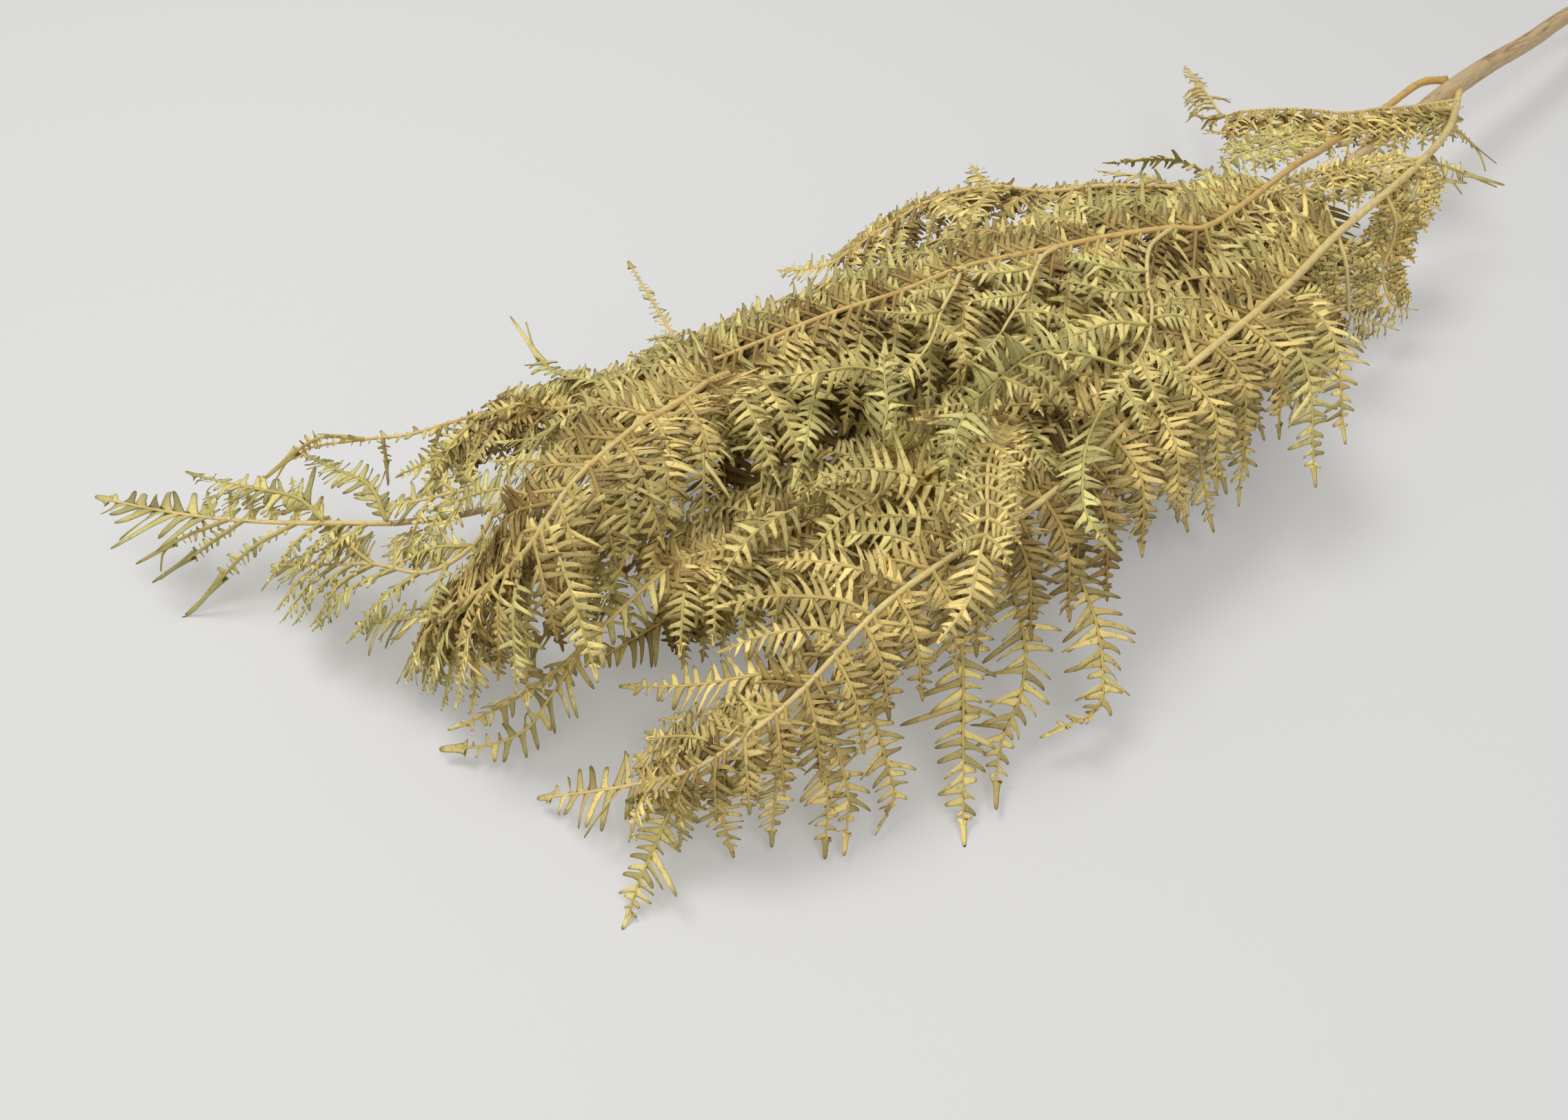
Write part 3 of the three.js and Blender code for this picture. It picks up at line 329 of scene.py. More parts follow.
        "route": [[-264, 8, 44], [-275, 12, 48], [-290, 17, 46], [-301, 24, 42]],
        "radius": 0.7, "first": 12, "tailFrom": 0.7, "tone": 0.8, "costaTone": 0.5, "fineness": (0.7, 0.84),
        "isWebbed": True, "isOpen": True,
        "lengths": [[0, 24], [1, 8]],
        "near": hanging(55, 0, 0.5), "far": hanging(55, -0.1, 1.5),
    },
    "near_pinna_6": {
        "route": [[-230, 9, 45], [-252, -20, 52], [-269, -32, 52], [-285, -30, 44], [-297, -23, 32],
                  [-310, -13, 16], [-313, -10, 8]],
        "radius": 0.9, "first": 24, "tailFrom": 0.8, "tone": 0.75, "costaTone": 0.3, "fineness": (0.7, 0.8),
        "isWebbed": True,
        "lengths": [[0, 30], [0.5, 34], [1, 8]],
        "near": hanging(60, -0.1, 0.9), "far": hanging(55, -0.1, 0.5),
    },
    "near_pinna_7": {
        "route": [[-272, 6, 44], [-283, -9, 48], [-298, -9, 44], [-311, 7, 38], [-324, 23, 28],
                  [-339, 42, 16]],
        "radius": 0.8, "first": 20, "tailFrom": 0.8, "tone": 0.85, "costaTone": 0.2, "fineness": (0.7, 0.8),
        "isWebbed": True, "isOpen": True,
        "lengths": [[0, 26], [0.5, 30], [1, 7]],
        "near": hanging(58, 0, 0.6), "far": hanging(55, 0, 0.5),
        "feathers": [
            [[-311, 7, 38], [-316, 22, 36], [-320, 42, 30]],
        ],
    },
}

# The last stretch of the stem, where its own pinnules are single feathers
frondTip = {
    "radius": 0.9, "first": 8, "tailFrom": 0.6, "tailWidth": 11, "tail": {"pitch": 4.4, "lean": 0.5},
    "tone": 1.0, "costaTone": 0.1, "fineness": (0.62, 0.85), "isWebbed": True, "isOpen": True,
    "lengths": [[0, 24], [0.45, 20], [0.7, 14], [1, 5]],
    "near": hanging(55, 0, 0.4), "far": hanging(55, 0, 0.2),
    "feathers": [
        [[-302, 20, 40], [-303, 32, 44], [-310, 48, 40], [-318, 69, 32]],
        [[-319, 32, 36], [-324, 42, 40], [-338, 57, 38], [-353, 80, 30]],
    ],
    "slender": [
        [[-327, 38, 35], [-343, 40, 28], [-358, 46, 12], [-371, 50, 0]],
        [[-342, 49, 33], [-355, 52, 24], [-373, 57, 12]],
        [[-346, 52, 32], [-360, 57, 26], [-368, 60, 20], [-372, 60, 12]],
    ],
}

# How long and how close pinnules and leaflets grow. Millimetres and degrees.
growth = {
    "stemEnd": 0.875,             # share of the stem's route, up to where the frond's tip begins
    "widthBase": 3.4,             # half the width of a feather, from its length
    "widthPerLength": 0.105,
    "gapBase": 3.1,               # between two pinnules on one side, from their length
    "gapPerLength": 0.213,
    "turnSpread": 12,
    "lengthSpread": 0.2,
    "droopSpread": 0.3,
    "shingle": 0.38,              # turn of a feather about its rib, in radians
    "tracedShingle": 0.1,
    "levelAt": 0.4,               # place along a feather where its blade lies across its costa
    "tracedDroop": 1.5,           # how fast a traced feather's blade turns outward as it falls
    "slenderShare": 0.45,         # of the usual width, for feathers with short leaflets
    "middle": 0.45,               # shares of a ruled feather's length, before and after its bend
    "end": 0.58,
    "tableGaps": (2, 1),          # of its bend and its tip
    "pitchBase": 1.5,             # between two leaflets on one side, from the feather's length
    "pitchPerLength": 0.034,
    "widestPitch": 3.4,
    "toneSpread": 0.42,
    "mostTail": 9,                # half the width of a costa's tail, from the pinnules before it
    "tailPerLength": 0.6,
}

# A pinnule that is divided once more carries pinnules by this rule
sideBranch = {"first": 9, "lengths": [[0, 25], [0.6, 20], [1, 8]], "hang": hanging(58, 0.05, 0.35),
              "tailFrom": 0.8, "tailWidth": 5}

# Shorter feathers between the others, further down, fill a dried frond's inside. Their browner tone is
# painted shade for that shaded inside.
# Their layers are: place between two pinnules, share of the length, steeper droop. Curtains hang lowest.
underGrowth = {"layers": ((0.5, 0.66, 0.5), (0.2, 0.55, 1.3)),
               "curtains": ((0.8, 0.6, 2.4), (0.35, 0.75, 1.7)),
               "tone": -0.4, "spread": 0.3, "seed": 17.9, "fullness": 1.12, "shortest": 14}

# The short first branches of the front pinna carry small feathers in place of leaflets
leafyBranch = {"first": 4, "gap": 3.9, "last": 0.9, "hang": hanging(60, 0.1, 0.3), "reach": 1.15,
               "shortest": 3, "fullFrom": 8, "halfWidth": 3.3, "pitch": 1.8, "facing": (-0.45, -0.6, 0.65),
               "fullness": 1.4}


# Where the random numbers of each kind start. Traced, ruled and leafy count once for each pinna.
seeds = {"traced": 50, "ruled": 10, "leafy": 30, "slender": 30, "rider": 40, "twigTail": 90, "tail": 70,
         "tones": 200, "costa": 300, "twig": 400, "inner": 900, "stem": 5}


# A number from 0 to 1 that looks random, the same each time for the same n
def noise(n):
    value = math.sin(n * 12.9898 + 78.233) * 43758.5453
    return value - math.floor(value)


def unit(vector):
    return vector / np.linalg.norm(vector, axis=-1, keepdims=True)


def interpolate(pairs, place):
    return np.interp(place, *zip(*pairs))


# How finely routes are drawn
fineSteps = {"betweenPoints": 16, "forHeading": 0.01, "ofStretch": 40, "fewest": 5}


# A smooth curve through points, measured along its length
class Route:
    def __init__(self, points):
        knots = np.array(points, float)
        padded = np.vstack([2 * knots[0] - knots[1], knots, 2 * knots[-1] - knots[-2]])
        t = np.linspace(0, 1, fineSteps["betweenPoints"], endpoint=False)[:, None]
        stretches = [0.5 * (2 * b + (c - a) * t + (2 * a - 5 * b + 4 * c - d) * t ** 2
                            + (3 * b - a - 3 * c + d) * t ** 3)
                     for a, b, c, d in zip(padded, padded[1:], padded[2:], padded[3:])]
        self.points = np.vstack(stretches + [knots[-1:]])
        steps = np.linalg.norm(np.diff(self.points, axis=0), axis=1)
        self.marks = np.concatenate([[0], np.cumsum(steps)])
        self.length = self.marks[-1]

    def at(self, mark):
        return np.stack([np.interp(mark, self.marks, self.points[:, axis]) for axis in range(3)], axis=-1)

    def heading(self, mark):
        reach = fineSteps["forHeading"] * self.length
        ahead = self.at(np.minimum(mark + reach, self.length))
        return unit(ahead - self.at(np.maximum(mark - reach, 0)))

    def stretch(self, start, end):
        count = max(fineSteps["fewest"], round((end - start) * fineSteps["ofStretch"]) + 1)
        return Route(self.at(np.linspace(start * self.length, end * self.length, count)))

    def nearest(self, point):
        gaps = np.linalg.norm(self.points - np.array(point, float), axis=1)
        return self.marks[gaps.argmin()], gaps.min()


def sideways(route, mark, facing=upward):
    return unit(np.cross(facing, route.heading(mark)))


# Feathers: what grows on a costa, by rule or along a traced route
def feather(route, across, outward, twist, seed, **more):
    heading = route.heading(growth["levelAt"] * route.length)
    flip = -1 if np.dot(np.cross(heading, across), outward) < 0 else 1
    halfWidth = growth["widthBase"] + growth["widthPerLength"] * route.length
    pitch = min(growth["pitchBase"] + growth["pitchPerLength"] * route.length, growth["widestPitch"])
    return {"route": route, "across": flip * across, "twist": twist, "seed": seed,
            "halfWidth": halfWidth, "pitch": pitch, "kind": "feather", **more}


def ruledFeather(route, mark, sign, reach, hang, seed, facing=upward, **more):
    heading = route.heading(mark)
    side = sideways(route, mark, facing)
    turn = math.radians(hang["angle"] + growth["turnSpread"] * (noise(seed) - 0.5))
    length = reach * (1 + growth["lengthSpread"] * (noise(seed + 3.9) - 0.5))
    droop = hang["droop"] + growth["droopSpread"] * (noise(seed + 5.7) - 0.5)
    out = heading * math.cos(turn) + side * sign * math.sin(turn)
    root = route.at(mark)
    middle = root + out * growth["middle"] * length + upward * growth["middle"] * length * hang["rise"]
    tip = middle + unit(out - upward * droop) * growth["end"] * length
    middle[2] = max(middle[2], growth["tableGaps"][0])
    tip[2] = max(tip[2], growth["tableGaps"][1])
    outward = upward + side * sign * min(droop, 1)
    return feather(Route([root, middle, tip]), heading, outward, sign * growth["shingle"], seed, **more)


def tracedFeather(points, parents, seed, isSlender=False):
    parent = min(parents, key=lambda each: each.nearest(points[0])[1])
    mark = parent.nearest(points[0])[0]
    side = sideways(parent, mark)
    reach = np.array(points[-1], float) - np.array(points[0], float)
    sign = 1 if np.dot(reach, side) > 0 else -1
    drop = min(max(-growth["tracedDroop"] * reach[2] / np.linalg.norm(reach), 0), 1)
    grown = feather(Route([parent.at(mark)] + points[1:]), parent.heading(mark), upward + side * sign * drop,
                    sign * growth["tracedShingle"], seed)
    if isSlender:
        grown = {**grown, "halfWidth": growth["slenderShare"] * grown["halfWidth"], "kind": "slender"}
    return {**grown, "parent": parent, "mark": mark, "sign": sign}


def ruledFeathers(parent, spray, seed, traced):
    taken = [each for each in traced if each["parent"] is parent]
    grown = []
    mark = spray["first"]
    k = 0
    while mark < spray["tailFrom"] * parent.length:
        reach = interpolate(spray["lengths"], mark / parent.length)
        gap = growth["gapBase"] + growth["gapPerLength"] * reach
        for sign in (1, -1):
            hang = spray["near"] if sign > 0 else spray["far"]
            if mark < hang["first"]:
                continue
            inSolids = (sign == 1) == (k % 2 == 0)
            own = seed + 7.3 * k + (0 if inSolids else 3.1)
            if not any(each["sign"] == sign and abs(each["mark"] - mark) < gap for each in taken):
                grown.append(ruledFeather(parent, mark, sign, reach, hang, own))
            if reach < underGrowth["shortest"] or spray.get("isOpen"):
                continue
            layers = underGrowth["layers"] + (underGrowth["curtains"] if spray.get("hasCurtains") else ())
            for layer, (place, share, droop) in enumerate(layers):
                between = min(mark + place * gap, parent.length)
                under = {**hang, "droop": hang["droop"] + droop}
                grown.append(ruledFeather(parent, between, sign, reach * share, under,
                                          own + underGrowth["seed"] * (layer + 1), isUnder=True))
        mark += gap
        k += 1
    return grown


# The end of a costa or branch is itself a feather, with leaflets on both sides
def tailFeather(route, start, halfWidth, seed, **more):
    end = route.stretch(start, 1)
    grown = feather(end, -sideways(end, 0.5 * end.length), upward, 0, seed)
    return {**grown, "halfWidth": halfWidth, "kind": "tail", **more}


def smallFeathers(route, width, seed):
    grown = []
    mark = leafyBranch["first"]
    k = 0
    while mark < leafyBranch["last"] * route.length:
        reach = max(width * leafyBranch["reach"] * (1 - (mark / route.length) ** 3), leafyBranch["shortest"])
        for sign in (1, -1):
            grown.append(ruledFeather(route, mark, sign, reach, leafyBranch["hang"], seed + 2.7 * k + sign,
                                      np.array(leafyBranch["facing"]), kind="small"))
        mark += leafyBranch["gap"]
        k += 1
    for each in grown:
        each["halfWidth"] = leafyBranch["halfWidth"] * min(1, each["route"].length / leafyBranch["fullFrom"])
        each["pitch"] = leafyBranch["pitch"]
    return grown


# Everything that grows from one pinna: its costa and branches, and the feathers on them
def growPinna(spray, order):
    costaRoute = Route(spray["route"])
    twigs = []
    leafy = []
    for entry in spray.get("branches", []):
        root = costaRoute.at(costaRoute.nearest(entry["route"][0])[0])
        hang = entry.get("hang", sideBranch["hang"])
        far = {**hang, "first": math.inf} if entry.get("isOneSided") else hang
        rule = {**sideBranch, **entry, "near": hang, "far": far}
        twig = {**entry, "road": Route([root] + entry["route"][1:]), "rule": rule}
        (leafy if "leafWidth" in entry else twigs).append(twig)
    parents = [costaRoute] + [twig["road"] for twig in twigs]
    tracedSeed, ruledSeed = seeds["traced"] * order, seeds["ruled"] * order
    traced = [tracedFeather(points, parents, tracedSeed + k)
              for k, points in enumerate(spray.get("feathers", []))]
    for k, share in spray.get("bareShares", {}).items():
        traced[k]["bareShare"] = share
    traced += [tracedFeather(points, parents, tracedSeed + seeds["slender"] + k, True)
               for k, points in enumerate(spray.get("slender", []) + spray.get("hooks", []))]
    ribs = parents + [each["route"] for each in traced]
    traced += [tracedFeather(points, ribs, tracedSeed + seeds["rider"] + k)
               for k, points in enumerate(spray.get("riders", []))]
    feathers = traced + ruledFeathers(costaRoute, spray, ruledSeed, traced)
    for k, twig in enumerate(twigs):
        if not twig.get("isBare"):
            feathers += ruledFeathers(twig["road"], twig["rule"], ruledSeed + k + 1, traced)
        width = spray.get("twigTails", {}).get(k, sideBranch["tailWidth"])
        seed = seeds["twigTail"] + order + k
        feathers.append(tailFeather(twig["road"], sideBranch["tailFrom"], width, seed))
    reach = interpolate(spray["lengths"], spray["tailFrom"])
    width = spray.get("tailWidth", min(growth["mostTail"], growth["tailPerLength"] * reach))
    feathers.append(tailFeather(costaRoute, spray["tailFrom"], width, seeds["tail"] + order,
                                **spray.get("tail", {})))
    for grown in feathers:
        if grown["kind"] in ("feather", "slender"):
            grown["halfWidth"] *= spray["fineness"][0]
            grown["pitch"] *= spray["fineness"][1]
    for k, twig in enumerate(leafy):
        feathers += smallFeathers(twig["road"], twig["leafWidth"], seeds["leafy"] * order + 3.3 * k)
    return {"costa": costaRoute, "twigs": [twig["road"] for twig in twigs],
            "leafyTwigs": [twig["road"] for twig in leafy], "feathers": feathers}


# One leaflet, made once at unit size along +Y and copied by the thousand.
# Rings are: place along it, width, thickness. Its margins are rolled, so they are thicker than its middle.
leafletForm = {
    "rings": [(0.0, 2.3, 0.8), (0.13, 1.4, 1.0), (0.4, 1.04, 1.0), (0.74, 0.92, 0.95), (0.93, 0.68, 0.8),
              (1.0, 0.25, 0.4)],
    "groove": -0.15,
    "hollow": -0.6,
}
# Short feathers are lobed rather than divided: their leaflets are joined at the rib
webbedForm = {
    **leafletForm,
    "rings": [(0.0, 2.4, 0.8), (0.18, 1.6, 1.0), (0.42, 1.08, 1.0), (0.74, 0.92, 0.95), (0.93, 0.64, 0.8),
              (1.0, 0.25, 0.4)],
}
underForm = {**leafletForm, "rings": [(0.0, 2.3, 0.8), (0.28, 1.2, 1.0), (0.8, 0.85, 0.9), (1.0, 0.25, 0.4)]}
smallForm = {"rings": [(0.0, 1.7, 0.9), (0.4, 1.1, 1.0), (0.8, 0.8, 0.8), (1.0, 0.3, 0.5)], "groove": 0.2,
             "hollow": -0.5}


def meshOf(made, name):
    mesh = bpy.data.meshes.new(name)
    made.to_mesh(mesh)
    return mesh


def smoothMesh(made, name):
    bmesh.ops.recalc_face_normals(made, faces=made.faces)
    for face in made.faces:
        face.smooth = True
    mesh = meshOf(made, name)
    made.free()
    return mesh


# The ring that grows out of the last one, and its edges
def nextRing(made, edges):
    grown = bmesh.ops.extrude_edge_only(made, edges=edges)["geom"]
    ring = [part for part in grown if isinstance(part, bmesh.types.BMVert)]
    inRing = set(ring)
    return ring, [part for part in grown if isinstance(part, bmesh.types.BMEdge)
                  and part.verts[0] in inRing and part.verts[1] in inRing]


def leafletTemplate(name, form):
    made = bmesh.new()
    edge = made.verts.layers.float.new("edge")
    along = made.verts.layers.float.new("along")
    turned = Matrix.Rotation(math.radians(90), 4, 'X') @ Matrix.Rotation(math.radians(30), 4, 'Z')
    ring = bmesh.ops.create_circle(made, cap_ends=True, segments=6, radius=1, matrix=turned)["verts"]
    for vert in ring:
        isMargin = abs(vert.co.x) > 0.5
        vert[edge] = 1.0 if isMargin else 0.0
        if not isMargin:
            vert.co.z = form["groove"] if vert.co.z > 0 else form["hollow"]
    place, width, thick = form["rings"][0]
    bmesh.ops.scale(made, vec=(width / math.cos(math.radians(30)), 1, thick), verts=ring)
    edges = list(made.edges)
    for nextPlace, nextWidth, nextThick in form["rings"][1:]:
        ring, edges = nextRing(made, edges)
        bmesh.ops.scale(made, vec=(nextWidth / width, 1, nextThick / thick), verts=ring)
        bmesh.ops.translate(made, vec=(0, nextPlace - place, 0), verts=ring)
        for vert in ring:
            vert[along] = nextPlace
            vert[edge] = 1.0 if abs(vert.co.x) > 0.01 else 0.0
        place, width, thick = nextPlace, nextWidth, nextThick
    bmesh.ops.contextual_create(made, geom=edges)
    return smoothMesh(made, name)


def meshPlaces(mesh):
    places = np.zeros(len(mesh.vertices) * 3)
    mesh.vertices.foreach_get("co", places)
    return places.reshape(-1, 3)


leaflet = {
    "pitchSpread": 0.08,
    "markSpread": 0.05,
    "offset": 0.2,                # of the two sides' leaflets along the rib, as a share of the pitch
    "first": {"feather": 1.6, "slender": 1.6, "tail": 0.5, "small": 1.2},
    "footReach": 0.72,            # the lowest leaflets' length, and how fast it grows
    "footSwell": 1.5,
    "reach": 1.06,
    "width": 0.235,               # half of it, as a share of the pitch
    "closeWidth": 0.035,          # more of it for each millimetre that the pitch is closer than the widest
    "mostOfLength": 0.22,
    "shortest": 1.8,
    "shortestShare": 0.4,         # of the half width, on narrow feathers
    "end": {"start": 0.3, "reach": 0.8, "width": 0.22, "slender": 0.2},
    "thickness": 0.36,            # millimetres, half of it at the margin
    "mostOfWidth": 0.4,
    "lean": 0.2,
    "leanSpread": 0.17,
    "curve": 0.24,
    "arch": 0.3,
    "archSpread": (-0.3, 2.4),
    "rise": 0.1,
    "rollDegrees": 30,
    "rollPower": 0.6,
    "lengthSpread": 0.2,
    "lost": 0.015,                # share that has fallen off
    "undivided": {"feather": 0.07, "slender": 0.42, "tail": 0.05, "small": 0.1},   # share of its tip
    "floorGap": 0.3,
    "batch": 100,
}


def featherFrames(grown, marks):
    heading = grown["route"].heading(marks)
    across = grown["across"] - (heading @ grown["across"])[:, None] * heading
    side = unit(across)
    side = side * math.cos(grown["twist"]) + np.cross(heading, side) * math.sin(grown["twist"])
    return grown["route"].at(marks), heading, side, np.cross(heading, side)


# Bends the template into every leaflet of one feather: on both sides, and one more as its end
def leafletsOf(grown, template):
    random = np.random.default_rng(int(abs(grown["seed"]) * 1000) + 7)
    length = grown["route"].length
    isSmall = grown["kind"] == "small"
    first = max(leaflet["first"][grown["kind"]], grown.get("bareShare", 0) * length)
    last = length * (1 - leaflet["undivided"][grown["kind"]])
    pitch = grown["pitch"] * random.uniform(1 - leaflet["pitchSpread"], 1 + leaflet["pitchSpread"])
    count = max(2, int((last - first) / pitch))
    shapes = []
    shades = []
    for sign in (1, -1):
        marks = first + (np.arange(count) + 0.5 + leaflet["offset"] * sign) * (last - first) / count
        marks = marks + random.normal(0, leaflet["markSpread"] * pitch, count)
        kept = random.random(count) > leaflet["lost"]
        marks = np.clip(marks[kept], 0, length)
        place = marks / length
        base, heading, side, face = featherFrames(grown, marks)
        swell = np.minimum(1, leaflet["footReach"] + leaflet["footSwell"] * place)
        reach = grown["halfWidth"] * (1 - place ** 3) * swell * leaflet["reach"]
        reach = reach * (1 + random.normal(0, leaflet["lengthSpread"], len(marks)))
        shortest = min(leaflet["shortest"], leaflet["shortestShare"] * grown["halfWidth"])
        reach = np.maximum(reach, shortest)
        share = leaflet["width"] + leaflet["closeWidth"] * max(growth["widestPitch"] - pitch, 0)
        wide = np.minimum(share * pitch, leaflet["mostOfLength"] * reach)
        wide = wide * (underGrowth["fullness"] if grown.get("isUnder") else 1) * grown.get("leafletShare", 1)
        wide = wide * (leafyBranch["fullness"] if isSmall else 1)
        roll = np.radians(leaflet["rollDegrees"]) * random.normal(0, 1, len(marks))
        lean = grown.get("lean", leaflet["lean"]) + random.normal(0, leaflet["leanSpread"], len(marks))
        arch = leaflet["arch"] * random.uniform(*leaflet["archSpread"], len(marks))
        shapes.append(bendLeaflets(template, base, sign * side, heading, face, reach, wide, roll, lean, arch))
        shades.append(random.random(len(marks)))
    end = leaflet["end"]
    base, heading, side, face = featherFrames(grown, np.array([last - end["start"] * pitch]))
    reach = np.array([length - last + end["reach"] * pitch])
    wide = np.minimum(end["width"] * pitch, end["slender"] * reach)
    still = np.zeros(1)
    shapes.append(bendLeaflets(template, base, heading, side, face, reach, wide, still, still, still, 0))
    shades.append(random.random(1))
    return np.concatenate(shapes), np.concatenate(shades)


def bendLeaflets(template, base, out, heading, face, reach, wide, roll, lean, arch, curve=leaflet["curve"]):
    column = lambda values: values[:, None, None]
    row = lambda vectors: vectors[:, None, :]
    x, v, z = (template[None, :, axis, None] for axis in range(3))
    v = np.maximum(v, 0)          # its foot can lie a hair below zero, which has no power
    centre = (row(base) + row(out) * v * column(reach)
              + row(heading) * column(reach) * (column(lean) * v + curve * v ** 2)
              + row(face) * column(reach) * (leaflet["rise"] * v - column(arch) * v ** 2))
    turn = column(roll) * v ** leaflet["rollPower"]
    flat = row(heading) * np.cos(turn) + row(face) * np.sin(turn)
    proud = row(face) * np.cos(turn) - row(heading) * np.sin(turn)
    thick = np.minimum(leaflet["thickness"], leaflet["mostOfWidth"] * wide)
    return centre + flat * x * column(wide) + proud * z * column(thick)


# Copies by the batch, because one at a time is slow
def copiesOf(template, count, name):
    batches, left = divmod(count, leaflet["batch"])
    made = bmesh.new()
    for _ in range(leaflet["batch"]):
        made.from_mesh(template)
    batch = meshOf(made, "batch")
    made.clear()
    for _ in range(batches):
        made.from_mesh(batch)
    for _ in range(left):
        made.from_mesh(template)
    mesh = meshOf(made, name)
    made.free()
    bpy.data.meshes.remove(batch)
    return mesh


def stampLeaflets(name, templateMesh, feathers, tones):
    template = meshPlaces(templateMesh)
    shapes, shades, tints = [], [], []
    for grown, tone in zip(feathers, tones):
        shape, shade = leafletsOf(grown, template)
        shapes.append(shape)
        shades.append(shade)
        tints.append(np.full(len(shade), tone))
    places = np.concatenate(shapes)
    places[..., 2] = np.maximum(places[..., 2], leaflet["floorGap"])
    mesh = copiesOf(templateMesh, len(places), name)
    mesh.vertices.foreach_set("co", ((places - packedMiddle) * toMetres).ravel())
    each = places.shape[1]
    for title, values in (("shade", np.concatenate(shades)), ("tone", np.concatenate(tints))):
        layer = mesh.attributes.new(title, 'FLOAT', 'POINT')
        layer.data.foreach_set("value", np.repeat(values, each))
    mesh.update()
    return mesh


# Round strands: the stem, the costae and the ribs of feathers
def strandFrame(point, heading, side, radius):
    face = np.cross(heading, side)
    rows = [[side[axis], face[axis], heading[axis], point[axis]] for axis in range(3)]
    return Matrix(rows + [[0, 0, 0, 1]]) @ Matrix.Diagonal((radius, radius, 1, 1))


def paintRing(made, ring, frameHere, distance, radius, tone):
    grain = made.verts.layers.float_vector["grain"]
    toneLayer = made.verts.layers.float["tone"]
    local = frameHere.inverted()
    for vert in ring:
        around = local @ vert.co
        vert[grain] = (around.x * radius, around.y * radius, distance)
        vert[toneLayer] = tone


def addStrand(made, route, marks, radii, sides, tone, ridges=(1,)):
    tones = np.broadcast_to(tone, len(marks))
    headings = route.heading(marks)
    points = (route.at(marks) - packedMiddle) * toMetres
    side = np.cross(upward, headings[0])
    frames = []
    for point, heading, radius in zip(points, headings, radii):
        side = unit(side - np.dot(side, heading) * heading)
        frames.append(strandFrame(point, heading, side, radius * toMetres))
    ring = bmesh.ops.create_circle(made, cap_ends=True, segments=sides, radius=1)["verts"]
    for k, vert in enumerate(ring):
        bmesh.ops.scale(made, vec=(ridges[k % len(ridges)],) * 3, verts=[vert])
    edges = list(dict.fromkeys(edge for vert in ring for edge in vert.link_edges))
    bmesh.ops.transform(made, matrix=frames[0], verts=ring)
    paintRing(made, ring, frames[0], 0, radii[0] * toMetres, tones[0])
    for k in range(1, len(frames)):
        ring, edges = nextRing(made, edges)
        bmesh.ops.transform(made, matrix=frames[k] @ frames[k - 1].inverted(), verts=ring)
        paintRing(made, ring, frames[k], (marks[k] - marks[0]) * toMetres, radii[k] * toMetres, tones[k])
    bmesh.ops.contextual_create(made, geom=edges)


def strandMesh(name, addAll):
    made = bmesh.new()
    made.verts.layers.float_vector.new("grain")
    made.verts.layers.float.new("tone")
    addAll(made)
    return smoothMesh(made, name)


rib = {"sides": 5, "step": 3.2, "foot": 0.82, "tip": 0.3, "smallFoot": 0.4, "smallTip": 0.15, "end": 0.985,
       "taper": 0.8}
costa = {"sides": 10, "step": 2.6, "tip": 0.4, "paling": 0.6, "waver": 0.025}
twigRule = {**costa, "sides": 8, "step": 2.4, "foot": 0.85, "tip": 0.35, "taper": 1.0, "paling": 0}
stem = {
    "sides": 24,
    "step": 2.4,
    "radii": [[0, 3.8], [0.2, 4], [0.285, 4.4], [0.33, 2.6], [0.6, 1.9], [0.75, 1.3], [0.875, 0.95],
              [1, 0.5]],
    "ridges": (1.0, 0.965, 1.01, 0.985, 0.96, 1.0, 1.015, 0.975),
    "waver": 0.012,
}


def addRib(made, grown, tone):
    route = grown["route"]
    foot, tip = (rib["smallFoot"], rib["smallTip"]) if grown["kind"] == "small" else (rib["foot"], rib["tip"])
    count = max(4, round(route.length / rib["step"]))
    marks = np.linspace(0, route.length * rib["end"], count)
    radii = foot + (tip - foot) * (marks / route.length) ** rib["taper"]
    addStrand(made, route, marks, radii, rib["sides"], tone)


def addCosta(made, route, look, seed, tone):
    count = max(6, round(route.length / look["step"]))
    marks = np.linspace(0, route.length, count)
    place = marks / route.length
    random = np.random.default_rng(seed)
    radii = look["foot"] + (look["tip"] - look["foot"]) * place ** look["taper"]
    radii = radii * (1 + random.normal(0, look["waver"], count))
    addStrand(made, route, marks, radii, look["sides"], tone * (1 - look["paling"] * place))


# Finishes. Colours are what a screen shows, 0 to 255.
def tint(red, green, blue):
    parts = [part / 255 for part in (red, green, blue)]
    linear = [part / 12.92 if part < 0.04045 else ((part + 0.055) / 1.055) ** 2.4 for part in parts]
    return (*linear, 1.0)


def addNode(tree, kind, inputs=None, **settings):
    node = tree.nodes.new(kind)
    for key, value in settings.items():
        setattr(node, key, value)
    for key, value in (inputs or {}).items():
        if isinstance(value, bpy.types.NodeSocket):
            tree.links.new(value, node.inputs[key])
        else:
            node.inputs[key].default_value = value
    return node


def mixColors(tree, factor, first, second, blend='MIX'):
    return addNode(tree, 'ShaderNodeMix', {0: factor, 6: first, 7: second}, data_type='RGBA',
                   blend_type=blend).outputs[2]


def compute(tree, operation, first, second, **settings):
    return addNode(tree, 'ShaderNodeMath', {0: first, 1: second}, operation=operation, **settings).outputs[0]


def remap(tree, value, start, end, low=0.0, high=1.0, kind='LINEAR'):
    return addNode(tree, 'ShaderNodeMapRange', {"Value": value, "From Min": start, "From Max": end,
                                                "To Min": low, "To Max": high},
                   interpolation_type=kind).outputs[0]


